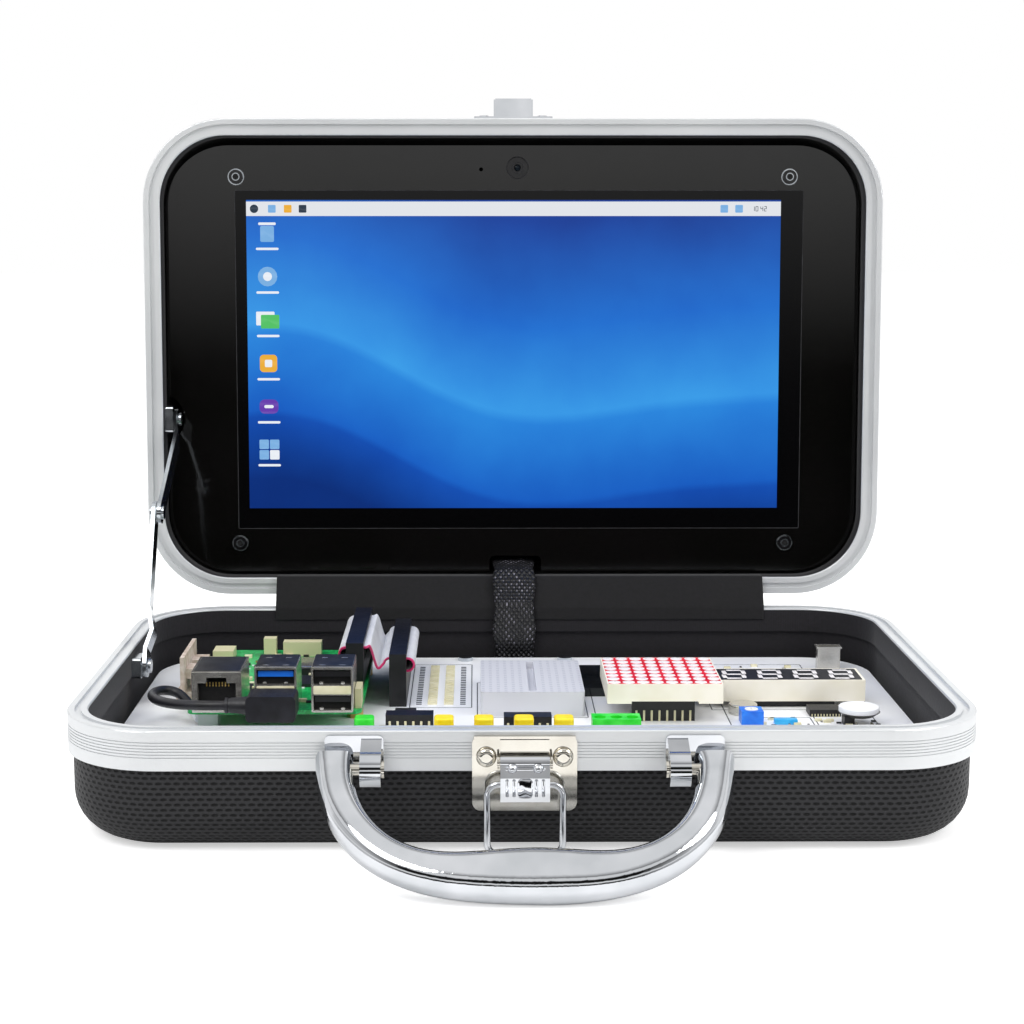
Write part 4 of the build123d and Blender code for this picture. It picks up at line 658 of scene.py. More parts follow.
def lit_screen():
    """Cover glass over a lit display: soft curved bands of blue glow through a glossy face, and
    the border outside the lit area is printed black."""
    material, tree, place = new_material("glass_over_lit_display")
    x, _, z = add(tree, "SeparateXYZ", place, out=slice(3))
    above = add(tree, "Math SUBTRACT", z, float(LID_CENTRE[2]))
    up = add(tree, "Math DIVIDE", above, float(LID_UP[2]))
    # Bands: two slow waves bend the height up the picture, and the colours follow it
    level = up
    for turn, start, tall in ((0.021, 0.7, 16.0), (0.045, 2.1, 5.0)):
        wave = add(tree, "Math SINE", add(tree, "Math MULTIPLY_ADD", x, turn, start))
        level = add(tree, "Math MULTIPLY_ADD", wave, tall, level)
    stops = (
        (0.0, "#0b2f7a"),
        (0.18, "#1450b4"),
        (0.2, "#1a62c8"),
        (0.42, "#2a86e0"),
        (0.45, "#3a9cec"),
        (0.7, "#1f6fd2"),
        (1.0, "#0e3f9c"),
    )
    sky = add(tree, "ValToRGB", add(tree, "MapRange", level, -66.0, 66.0), stops=stops)
    grain = add(tree, "TexNoise", place, Scale=0.03, Detail=4.0)
    kind = {"data_type": "RGBA", "out": 2}
    soft = add(tree, "Mix", 0.35, at={6: sky, 7: grain}, blend_type="SOFT_LIGHT", **kind)
    lit = add(tree, "Math GREATER_THAN", x, -100.7)
    for test, socket, edge in (("LESS", x, 101.3), ("GREATER", up, -57.8), ("LESS", up, 59.0)):
        lit = add(tree, "Math MULTIPLY", lit, add(tree, f"Math {test}_THAN", socket, edge))
    surface(
        tree,
        Base_Color=linear("#050506"),
        Roughness=0.12,
        Specular_IOR_Level=0.25,
        Emission_Color=add(tree, "Mix", lit, at={6: linear("#000000"), 7: soft}, **kind),
        Emission_Strength=0.95,
    )
    return material


def glow(name, code, strength=0.95):
    """A lit shape on the display: it gives its own even light through glass."""
    material, tree, _ = new_material(name)
    surface(
        tree,
        Base_Color=linear("#050506"),
        Roughness=0.15,
        Emission_Color=linear(code),
        Emission_Strength=strength,
    )
    return material


def green_mask(cell, trace):
    """Circuit board: fibreglass under a screen-printed green mask that rises over copper traces,
    which run between cells and are a share of a cell wide."""
    material, tree, place = new_material("circuit_board_green_mask")
    edges = add(tree, "TexVoronoi", place, out="Distance", feature="DISTANCE_TO_EDGE", Scale=1 / cell)
    line = add(tree, "Math LESS_THAN", edges, trace)
    shade = add(tree, "Math MULTIPLY_ADD", line, 0.35, add(tree, "TexNoise", place, Scale=0.05))
    surface(
        tree,
        Base_Color=add(tree, "ValToRGB", shade, stops=((0.3, "#0a9440"), (1.0, "#35d877"))),
        Roughness=0.3,
        Coat_Weight=0.3,
        Coat_Roughness=0.2,
        Normal=add(tree, "Bump", Strength=0.4, Distance=0.00005, Height=line),
    )
    return material


def ray_tests(tree):
    """Sockets that are one for what the camera sees, also through glass, and for reflections."""
    kinds = ("Camera", "Transmission", "Glossy")
    camera, through, mirrored = (add(tree, "LightPath", out=f"Is {k} Ray") for k in kinds)
    return add(tree, "Math ADD", camera, through, use_clamp=True), mirrored


def paper_floor():
    """Pale paper, which looks near white and keeps the object's shadow; polished metal finds it
    darker than the camera does."""
    material, tree, place = new_material("floor_pale_paper")
    grain = add(tree, "TexNoise", place, Scale=0.02)
    seen, mirrored = ray_tests(tree)
    glint = add(tree, "Math MULTIPLY", mirrored, 0.04)
    surface(
        tree,
        Base_Color=add(tree, "ValToRGB", grain, stops=((0.0, "#f4f4f4"), (1.0, "#f8f8f8"))),
        Roughness=0.9,
        Specular_IOR_Level=0.0,
        Emission_Color=linear("#ffffff"),
        Emission_Strength=add(tree, "Math MULTIPLY_ADD", seen, 0.5, glint),
    )
    return material


def studio_world():
    """White to the camera. Reflections find white behind and beside the object, under a grey
    ceiling, and a dark room with bright bands behind the camera."""
    world = bpy.data.worlds.new("studio")
    world.use_nodes = True
    tree = world.node_tree
    x, y, z = add(tree, "SeparateXYZ", add(tree, "TexCoord", out="Generated"), out=slice(3))
    heights = (
        (0.0, "#0c0c0e"),
        (0.52, "#0f1013"),
        (0.575, "#ffffff"),
        (0.6, "#ffffff"),
        (0.63, "#1b1c20"),
        (0.74, "#202126"),
        (0.77, "#f4f4f4"),
        (0.85, "#f4f4f4"),
        (0.88, "#8a8c90"),
        (0.97, "#fbfbfb"),
    )
    overhead = (
        (0.45, "#ffffff"),
        (0.62, "#84868a"),
        (0.8, "#b4b6ba"),
        (0.93, "#fdfdfd"),
        (1.0, "#c4c6ca"),
    )
    wall = add(tree, "ValToRGB", add(tree, "MapRange", z, -1.0, 1.0), stops=heights)
    room = add(tree, "RGBToBW", wall)
    ceiling = add(tree, "RGBToBW", add(tree, "ValToRGB", z, stops=overhead))
    behind = add(tree, "MapRange", y, -0.45, 0.1)
    beside = add(tree, "MapRange", add(tree, "Math ABSOLUTE", x), 0.5, 0.85, 0.0, 0.7)
    for part in (behind, beside):
        room = add(tree, "Math MAXIMUM", room, add(tree, "Math MULTIPLY", part, ceiling))
    seen, mirrored = ray_tests(tree)
    told = add(tree, "Math ADD", seen, mirrored, use_clamp=True)
    plain = add(tree, "Math SUBTRACT", 1.0, told)
    strength = add(tree, "Math MULTIPLY_ADD", mirrored, room, seen)
    strength = add(tree, "Math MULTIPLY_ADD", plain, 0.7, strength)
    light = add(tree, "Background", linear("#ffffff"), strength)
    tree.links.new(light, tree.nodes["World Output"].inputs[0])
    return world


def make_materials(colours, sizes):
    m = MATERIALS
    for key, values in FINISHES.items():
        m[key] = finish(*values)
    # Mouldings that share a node: blue and black tongues, white sockets low on the carrier board
    # and cream ones above them on the computer
    tongue = (("#1b78f0", "#141417"), (0.3, 0.4), 1, 0.003, 5)
    m["tongue"] = finish("nylon_moulded_blue_and_black", *tongue, split=(0, -68.8))
    connector = (("#e6e8ee", "#d3cda6"), (0.4, 0.5), 1.5, 0.003, 5)
    m["connector"] = finish("nylon_moulded_white_and_cream", *connector, split=(2, 27.0))
    m["shell"] = dimpled_shell(sizes.dimple_pitch, sizes.dimple_row)
    # Cloth on the walls and a finer strip over the hinge gap, both nearly black and dull
    m["lining"] = woven("pile_cloth_lining", ("#07050a", "#120f16"), thread=0.9)
    m["cover"] = woven("woven_cloth_strip", ("#040405", "#0f0d11"), thread=0.7)
    m["braid"] = braided_sleeve(width=2.0, pitch=2.6)
    m["green_board"] = green_mask(cell=2.6, trace=0.06)
    m["plug_board"] = plug_board_plastic(hole=1.0, trench=2.0, top=28.4)
    m["screen"] = lit_screen()
    m["bar_glow"] = glow("display_pale_bar", colours.menu_bar)
    m["icon_glow"] = glow("display_icon_white", "#eef3fa")
    m["warm_glow"] = glow("display_icon_amber", "#f0b23c")
    m["green_glow"] = glow("display_icon_green", "#58c66a")
    m["sky_glow"] = glow("display_shape_sky", "#7fb4e6")
    m["plum_glow"] = glow("display_shape_plum", "#6a3fb0")
    m["dark_glow"] = glow("display_shape_slate", "#33404f", strength=0.9)


def paint(**lists):
    """Gives CAD nodes their finish in every slot: each keyword is a finish and lists its nodes."""
    for key, names in lists.items():
        for name in names.split():
            obj = nodes[name]
            if not obj.material_slots:
                obj.data.materials.append(MATERIALS[key])
            for slot in obj.material_slots:
                slot.material = MATERIALS[key]


# Case


def tray_levels(floor, top, inset, edge, wall, steps=10):
    """Heights and insets down the inside and outside of a tray, each with a quarter-circle edge."""
    angle = np.linspace(0, math.pi / 2, steps)
    outer = [(floor + edge * (1 - math.sin(a)), inset + edge * (1 - math.cos(a))) for a in angle[::-1]]
    small = edge - wall
    inner = [
        (floor + wall + small * (1 - math.sin(a)), inset + wall + small * (1 - math.cos(a)))
        for a in angle
    ]
    return outer + [(top, inset), (top, inset + wall)] + inner


def make_tray(half, part, kind, levels, slot, wobble=0.0):
    """A tray over the case's outline; its map runs round the outline and down the profile. A
    wobble moves it inward by the product of three sines of its place."""
    steps = 20
    points, faces = stack(CASE[:2], levels, CASE[2], steps)
    count = 4 * steps
    rim_line = ring(*CASE, steps)
    along = np.concatenate(((0,), np.cumsum(np.linalg.norm(np.diff(rim_line, axis=0), axis=1))))
    profile = np.array(levels)
    down = np.concatenate(((0,), np.cumsum(np.linalg.norm(np.diff(profile, axis=0), axis=1))))
    uv = np.stack(np.meshgrid(along, down), -1).reshape(-1, 2)
    if wobble:
        waves = np.sin(points * (0.11, 0.13, 0.2) + (0, 1, 0))
        inward = -points[:, :2] / np.linalg.norm(points[:, :2], axis=1, keepdims=True)
        points[:, :2] += inward * np.abs(wobble * waves.prod(axis=1))[:, None]
    flat = points[:, :2].tolist()
    if half == "lid":
        points = put((points, faces), LID_CENTRE - LID_OUT * HALF_HEIGHT, X_AXIS, LID_UP)[0]
    obj = build(f"{half}_{part}_{kind}", [((points, faces), 0)], part, 50)
    set_uv(obj, uv)
    # The last strip of each row closes the loop, so its far corners take the full length
    layer = obj.data.uv_layers[0].data
    total = along[-1] + np.linalg.norm(rim_line[0] - rim_line[-1])
    strips = [i * count + count - 1 for i in range(len(levels) - 1)]
    for index in strips:
        polygon = obj.data.polygons[index]
        for loop in polygon.loop_indices:
            if obj.data.loops[loop].vertex_index % count == 0:
                layer[loop].uv = (total, layer[loop].uv[1])
    # The two flat caps take their own width and depth as their map
    for polygon in obj.data.polygons[len(faces) - 2 :]:
        for loop in polygon.loop_indices:
            layer[loop].uv = flat[obj.data.loops[loop].vertex_index]
    return carry(obj, half, slot, f"{half}_{part}")


# Add-on


class KitColours(bpy.types.PropertyGroup):
    """Colours that a user may change before building."""

    menu_bar: bpy.props.StringProperty(
        name="Menu bar", description="sRGB hex colour of the display's bar", default="#e4e7ec"
    )


class KitSizes(bpy.types.PropertyGroup):
    """Sizes of the surface details."""

    dimple_pitch: bpy.props.FloatProperty(
        name="Dimple pitch",
        description="Spacing of the shell's dimples, in millimetres",
        default=2.7,
        min=1.0,
    )
    dimple_row: bpy.props.FloatProperty(
        name="Dimple row",
        description="Height of a row of dimples, in millimetres",
        default=1.6,
        min=0.5,
    )
    ribbon_wires: bpy.props.IntProperty(
        name="Ribbon wires",
        description="Wires side by side in the ribbon cable",
        default=40,
        min=4,
    )


class KIT_OT_stage(bpy.types.Operator):
    """Camera at the photograph's angle, pale floor, soft lights and the studio world"""

    bl_idname = "kit.stage"
    bl_label = "Stage"

    def execute(self, context):
        scene = context.scene
        camera = bpy.data.objects.new("camera", bpy.data.cameras.new("camera"))
        camera.data.lens = 67.71
        camera.data.sensor_width = 36.0
        camera.data.shift_x = 0.0231
        camera.data.shift_y = 0.0014
        camera.data.clip_end = 50.0
        camera.location = (-0.0139, -0.629, 0.187)
        camera.rotation_euler = (math.radians(90 - 8.99), 0, math.radians(-0.36))
        scene.collection.objects.link(camera)
        scene.camera = camera
        scene.view_settings.view_transform = "Standard"

        for name, place, turn, size, power in (
            ("key_light", (-0.7, -0.9, 1.3), (42, 0, -36), 0.9, 10.5),
            ("fill_light", (1.0, -0.5, 0.9), (50, 0, 62), 0.8, 6.5),
            ("top_light", (0.0, 0.35, 1.5), (-12, 0, 0), 1.2, 8.5),
        ):
            lamp = bpy.data.objects.new(name, bpy.data.lights.new(name, "AREA"))
            lamp.data.shape = "DISK"
            lamp.data.size = size
            lamp.data.energy = power
            lamp.location = place
            lamp.rotation_euler = [math.radians(a) for a in turn]
            scene.collection.objects.link(lamp)
            # Polished metal shows the grey ceiling there, not a white disc
            lamp.visible_glossy = name != "top_light"

        MATERIALS["floor"] = paper_floor()
        wide, near, far, under = 4000, -260, 5000, -0.05
        corners = [(-wide, near, under), (wide, near, under), (wide, far, under), (-wide, far, under)]
        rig.stage(build("floor", [((np.array(corners, float), [[0, 1, 2, 3]]), 0)], "floor"))
        scene.world = studio_world()
        make_materials(scene.kit_colours, scene.kit_sizes)
        return {"FINISHED"}


class KIT_OT_case(bpy.types.Operator):
    """Dimpled shells, cloth linings and the aluminium rims"""

    bl_idname = "kit.case"
    bl_label = "Case halves"

    def execute(self, context):
        shell = tray_levels(floor=0.0, top=36.3, inset=1.5, edge=14.0, wall=2.4)
        lining = tray_levels(floor=2.5, top=36.0, inset=4.0, edge=11.5, wall=1.0)
        for half in ("base", "lid"):
            make_tray(half, "shell", "skin", shell, "shell_plastic")
            make_tray(half, "lining", "cloth", lining, "lining_cloth", wobble=0.25)
        # The cloth is turned up over the rim's inner wall, to just below its top
        levels = ((-8.7, 6.28), (-0.7, 6.28), (-0.6, 6.34), (-0.7, 6.42), (-8.7, 6.42))
        upturn = collar(CASE[:2], levels, CASE[2], 20)
        for half, place, up in (("base", (0, 0, HALF_HEIGHT), Y_AXIS), ("lid", LID_CENTRE, LID_UP)):
            turned = build(half + "_lining_upturn", [(put(upturn, place, X_AXIS, up), 0)], "lining", 50)
            set_uv(turned, upturn[0][:, :2])
            carry(turned, half, "lining_cloth")
        paint(aluminium="base_frame lid_frame")
        return {"FINISHED"}


class KIT_OT_hardware(bpy.types.Operator):
    """Handle, latch, hinges and lid stay"""

    bl_idname = "kit.hardware"
    bl_label = "Metal fittings"

    def execute(self, context):
        paint(
            chrome="handle handle_brackets latch_lever latch_bail latch_catch",
            nickel="hinge_base_leaves hinge_lid_leaves latch_plate rivets_and_pins",
            zinc="stay_base_bracket stay_lid_bracket stay_lower_link stay_upper_link",
        )
        # Lever's rolled top bar with two knuckles, and the pressed ribs and boss on its face
        shapes = [(front(block((11.6, 1.7), 0.9, 0.4, 0.8, 4), 0, -95.2, 28.3), 0)]
        for x in (-3.7, 3.7):
            shapes.append((front(dome(1.5, 1.5), x, -95.6, 28.5), 0))
        for x in (-5.2, -3.2, 3.2, 5.2):
            shapes.append((front(block((1.0, 5.4), 0.7, 0.35, 0.5, 4), x, -97.4, 23.3), 0))
        shapes.append((front(block((4.4, 6.0), 0.7, 0.3, 1.4, 5), 0, -97.35, 23.2), 0))
        carry(build("latch_lever_ribs", shapes, "chrome"), "latch_lever", "chrome")
        return {"FINISHED"}


class KIT_OT_screen(bpy.types.Operator):
    """Black panel, lit display with plain shapes, camera and screws"""

    bl_idname = "kit.screen"
    bl_label = "Screen panel"

    def execute(self, context):
        paint(
            panel="screen_panel",
            screen="screen_glass",
            tin="lcd_module",
            green_board="lcd_driver_board",
            black_gloss="panel_fixings camera_module",
        )
        thin = 0.03
        level = ((0, 0), (thin, 0))
        shapes = [(on_lid(stack((202.0, 5.4), level, 0.05, 2), 0.3, MENU_UP), 0)]
        # Menu bar: round menu mark and plain squares at the left, two marks and a clock at the right
        shapes.append((on_lid(disc(1.6, 2 * thin, 0.01), -97.7, MENU_UP), 1))
        for x, key in ((-91.0, 5), (-85.0, 2), (-79.4, 1), (79.9, 5), (85.5, 5)):
            shapes.append((on_lid(block((2.9, 2.9), 2 * thin, 0.01), x, MENU_UP), key))
        for i, digit in enumerate("1042"):
            centre = 90.9 + 1.35 * i + 0.5 * (i > 1)
            for dx, dy, upright in digit_bars(digit, 0.8, 1.7):
                bar = block((0.22, 0.85) if upright else (0.8, 0.22), 2 * thin, 0.01, 0.05)
                shapes.append((on_lid(bar, centre + dx, MENU_UP + dy), 1))
        # Desktop: a column of plain pictograms, each over a short bar that stands for its name
        column, first, pitch = -92.9, 47.3, 16.4
        corners = ((-2.0, 2.0, 5), (2.0, 2.0, 5), (-2.0, -2.0, 5), (2.0, -2.0, 4))
        pieces = (
            ((0, -0.4, 5.2, 6.0, 0.6, 5), (0, 3.4, 6.6, 1.0, 0.4, 4)),
            ((0, 0, 7.4, 7.4, 3.7, 5), (0, 0, 3.4, 3.4, 1.7, 4)),
            ((-1.0, 0.6, 7.0, 5.2, 0.4, 4), (0.8, -0.6, 7.0, 5.2, 0.4, 3)),
            ((0, 0, 6.6, 6.6, 1.4, 2), (0, 0, 2.8, 2.8, 0.5, 4)),
            ((0, 0, 7.2, 5.4, 2.0, 6), (0, 0, 3.6, 1.2, 0.6, 4)),
            [(dx, dy, 3.6, 3.6, 0.4, key) for dx, dy, key in corners],
        )
        for i, parts in enumerate(pieces):
            up = first - pitch * i
            for k, (dx, dy, wide, tall, corner, key) in enumerate(parts):
                plate = block((wide, tall), thin * (k + 1), 0.01, corner, 5)
                shapes.append((on_lid(plate, column + dx, up + dy), key))
            shapes.append((on_lid(block((8.6, 0.9), thin, 0.01, 0.4), column, up - 6.0), 4))
        lit = "bar_glow dark_glow warm_glow green_glow icon_glow sky_glow plum_glow"
        carry(build("display_shapes", shapes, lit), "lid")
        lens = on_lid(dome(1.2, 0.5), *CAMERA, PANEL_OUT - 1.2)
        carry(build("camera_lens", [(lens, 0)], "dark_glass"), "lid")
        # Panel trim: socket-head screws in bright washers, with a painted highlight ring and a black painted shade
        # disc on each head, the camera's bezel, the glass's edge
        head = PANEL_OUT + 1.1
        # The black disc in each screw head's socket is painted shade
        socket = stack((2.2, 2.2), ((0, 0), (0.04, 0)), 1.1, 2)
        bright, dark = [], []
        for x in (-104.4, 104.4):
            for up in (68.2, -70.6):
                bright.append((on_lid(washer(3.1, 2.65, 0.12), x, up), 0))
                # A thin zinc ring on each black screw head is a painted highlight
                bright.append((on_lid(washer(1.5, 1.15, 0.06), x, up, head), 0))
                dark.append((on_lid(socket, x, up, head), 1))
        bright.append((on_lid(washer(4.3, 4.0, 0.12, 10), *CAMERA), 2))
        bright.append((on_lid(washer(2.2, 1.9, 0.1, 8), *CAMERA), 2))
        bright.append((on_lid(outline(215.0, 128.5, 0.3, 0.04, 0.6), 2.4, -0.9), 2))
        carry(build("panel_trim_and_screw_painted_light", bright + dark, "zinc cavity epoxy"), "lid", "steel")
        return {"FINISHED"}


class KIT_OT_boards(bpy.types.Operator):
    """White carrier board with its print, spacers and screws"""

    bl_idname = "kit.boards"
    bl_label = "Carrier board"

    def execute(self, context):
        paint(white_board="main_board", brass="standoffs", zinc="board_screws")
        shapes = []
        for x, y, wide, deep in (
            (-26.1, 36.5, 21.4, 62.5),
            (*PLUG_BOARD, 37.2, 48.0),
            (47.7, -1.0, 44.0, 52.0),
            (92.4, 12.5, 54.0, 21.5),
            (86.0, -16.0, 22.0, 16.0),
            (108.0, -14.0, 20.0, 24.0),
            (-36.0, -26.0, 25.0, 16.0),
            (3.0, -28.0, 30.0, 14.0),
            (30.0, 54.0, 46.0, 20.0),
            (84.0, 52.0, 44.0, 30.0),
        ):
            shapes.append((put(outline(wide, deep, 0.35), (x, y, BOARD_TOP)), 0))
        # Rows of print marks and resistor networks beside the LED bars
        rows = np.arange(10.0, 65.0, PIN_PITCH)
        for x, wide, key in ((-33.6, 1.9, 0), (-29.0, 3.2, 1), (-23.4, 3.2, 1), (-18.6, 1.9, 0)):
            piece = block((wide, 1.15), 0.12 if key == 0 else 0.7, 0.03, 0.1, 2)
            shapes.append((many(piece, grid_places((x,), rows, BOARD_TOP)), key))
        # Small surface parts, scattered with a fixed seed over the free areas
        dice = np.random.default_rng(7)
        kinds = (((1.6, 0.8), 0.45, 2), ((0.8, 1.6), 0.45, 3), ((2.4, 1.3), 0.8, 1))
        for low, high, count in (
            ((78, -26), (99, -9), 26),
            ((99, -26), (118, -12), 22),
            ((-48, -34), (-25, -19), 22),
            ((-14, -36), (22, -22), 26),
            ((32, -34), (64, -22), 18),
            ((66, 34), (106, 66), 24),
            ((8, 44), (54, 64), 24),
        ):
            places = scatter(dice, low, high, count, BOARD_TOP)
            for k, (size, tall, key) in enumerate(kinds):
                shapes.append((many(block(size, tall, 0.05, 0.1, 2), places[k::3]), key))
        carry(build("board_parts", shapes, "ink cream epoxy tin"), "base", "white_board")
        return {"FINISHED"}


class KIT_OT_computer(bpy.types.Operator):
    """Green single-board computer with its ports"""

    bl_idname = "kit.computer"
    bl_label = "Single-board computer"

    def execute(self, context):
        paint(
            green_board="sbc_board",
            tin="usb_stacks ethernet_jack",
            tongue="usb_tongues",
            black="pin_headers ribbon_sockets",
            connector="sbc_connectors",
            epoxy="chips",
            brown="adapter_board",
            rubber="usb_plug",
        )
        shapes = []
        face = SOCKET_FACE
        contact = front(block((1.3, 0.8), 0.12, 0.03), 0, 0, 0)
        for x in USB_X:
            rim = collar((13.4, 14.9), ((0, 0), (0.3, 0.1), (0.3, 0.5), (0, 0.6)), 0.9, 4)
            shapes.append((front(rim, x, face, SBC_TOP + 7.45), 0))
            shapes.append((front(block((12.0, 2.7), 0.2, 0.08), x, face, SBC_TOP + 7.3), 1))
            for level in (0.7, 9.0):
                # A black block fills each port's opening from just behind its face: painted shade
                hollow = block((11.9, 4.8), 6.6, 0.02)
                shapes.append((front(hollow, x, face + 8.6, SBC_TOP + level + 2.45), 2))
                springs = grid_places((-3.4, 3.4), (0,), 0) + (x, face - 0.02, SBC_TOP + level + 0.65)
                shapes.append((many(contact, springs), 0))
            # A dark epoxy plate on the steel shell's top is a painted dark reflection
            shapes.append((put(block((12.8, 16.4), 0.14, 0.05), (x, face + 8.9, SBC_TOP + 14.9)), 3))
            slots = grid_places((-3.2, 3.2), (face + 2.2, face + 12.5), SBC_TOP + 15.0) + (x, 0, 0)
            shapes.append((many(block((2.0, 0.8), 0.08, 0.02), slots), 0))
        rim = collar((15.9, 13.3), ((0, 0), (0.25, 0.1), (0.25, 0.7), (0, 0.8)), 0.4, 3)
        shapes.append((front(rim, JACK_X, face, SBC_TOP + 6.65), 0))
        # A black block fills the jack's opening from just behind its face: painted shade
        shapes.append((front(block((12.1, 7.9), 8.5, 0.02), JACK_X, face + 11.6, SBC_TOP + 5.6), 2))
        contacts = grid_places(JACK_X + np.arange(8) - 3.5, (face + 3.05,), SBC_TOP + 8.6)
        shapes.append((many(front(block((0.4, 1.4), 0.3, 0.05), 0, 0, 0), contacts), 4))
        # A dark epoxy plate on the steel jack's top is a painted dark reflection
        shapes.append((put(block((14.6, 19.6), 0.14, 0.05), (JACK_X, face + 10.9, SBC_TOP + 13.3)), 3))
        # Processor lid, and small parts and pads scattered with a fixed seed
        shapes.append((put(block((14.6, 14.6), 0.3, 0.15, 0.8), (-76.8, 25.4, SBC_TOP + 2.4)), 0))
        dice = np.random.default_rng(3)
        kinds = (((1.0, 0.5), 0.4, 5), ((1.9, 1.2), 0.7, 3), ((0.8, 1.6), 0.5, 4), ((2.6, 1.6), 1.0, 1))
        for low, high, count in (((-105, -8), (-60, 52), 96), ((-88, -28), (-52, -14), 24)):
            places = scatter(dice, low, high, count, SBC_TOP)
            for k, (size, tall, key) in enumerate(kinds):
                shapes.append((many(block(size, tall, 0.05, 0.1, 2), places[k::4]), key))
        pads = grid_places((-105.0, -52.6), np.arange(-27.0, 54.0, 2.7), SBC_TOP)
        shapes.append((many(disc(0.6, 0.06, 0.02, 2), pads), 4))
        # Ribs of the lead's strain relief
        for x in (-89.4, -91.2, -93.0):
            shapes.append((put(washer(2.5, 1.5, 0.9, 6), (x, *CABLE_ROUTE[0][1:]), Y_AXIS, Z_AXIS), 6))
        finishes = "tin cream cavity epoxy gold white rubber"
        carry(build("computer_parts_with_painted_shade_and_reflection", shapes, finishes), "base", "steel")
        return {"FINISHED"}


class KIT_OT_modules(bpy.types.Operator):
    """Displays, keys and the small modules on the carrier board"""

    bl_idname = "kit.modules"
    bl_label = "Modules"

    def execute(self, context):
        paint(
            plug_board="breadboard",
            ivory="led_matrix segment_display",
            black="display_sockets switch_bodies coin_cell_holder",
            dark_glass="character_display",
            green="terminal_block button_green",
            tin="vibration_motor upright_socket",
            blue="trimmer_body",
            white="trimmer_rotor coin_cell",
            yellow="button_yellow_1 button_yellow_2 button_yellow_3 button_yellow_4",
        )
        plate = ((0, 0), (0.05, 0))
        block_top, digits_top = 34.0, 29.7
        eight = np.arange(8) - 3.5
        # LED block: red face with eight by eight round lenses
        face = put(stack((37.0, 37.0), plate, 0.4, 2), (*LED_BLOCK, block_top))
        x, y = (middle + LED_PITCH * eight for middle in LED_BLOCK)
        spots = grid_places(x, y, block_top + 0.03)
        dots = many(disc(2.05, 0.1, 0.04, 5), spots)
        carry(build("led_matrix_face", [(face, 0), (dots, 1)], "red lens"), "base")
        # Digit display: black face with four pale seven-bar digits
        shapes = [(put(stack((48.6, 15.4), plate, 0.4, 2), (*DIGITS, digits_top)), 0)]
        for i in range(4):
            centre = DIGITS[0] + 12.2 * (i - 1.5)
            for dx, dy, upright in digit_bars("8", 6.6, 11.4):
                bar = block((1.5, 4.4) if upright else (5.0, 1.5), 0.06, 0.02, 0.3)
                shapes.append((put(bar, (centre + dx + dy * 0.1, DIGITS[1] + dy, digits_top + 0.05)), 1))
        # Pins: pale ones before the black header under the LED block, and along the chips
        header = grid_places(LED_BLOCK[0] + PIN_PITCH * eight, (-12.2,), BOARD_TOP)
        shapes.append((many(block((0.7, 0.4), 3.6, 0.1), header), 2))
        for x, y, count, pitch, tall in (
            (-35.6, -25.4, 6, PIN_PITCH, 3.6),
            (2.6, -27.9, 6, PIN_PITCH, 3.6),
            (102.2, -7.4, 10, 1.0, 1.0),
        ):
            places = grid_places(x + pitch * (np.arange(count) - (count - 1) / 2), (y,), BOARD_TOP)
            shapes.append((many(block((0.3 * pitch, 0.6), tall, 0.1), places), 2))
        # Pale blue setting part and the motor's two thin leads
        shapes.append((put(block((7.6, 3.4), 1.7, 0.3, 0.5), (87.6, -15.6, BOARD_TOP)), 3))
        for x, key in ((74.8, 4), (76.2, 5)):
            shapes.append((put(block((0.7, 6.0), 0.7, 0.2, 0.3), (x, -8.6, BOARD_TOP)), key))
        finishes = "epoxy lens cream pale_blue red blue"
        carry(build("module_details", shapes, finishes), "base", "black_plastic")
        return {"FINISHED"}


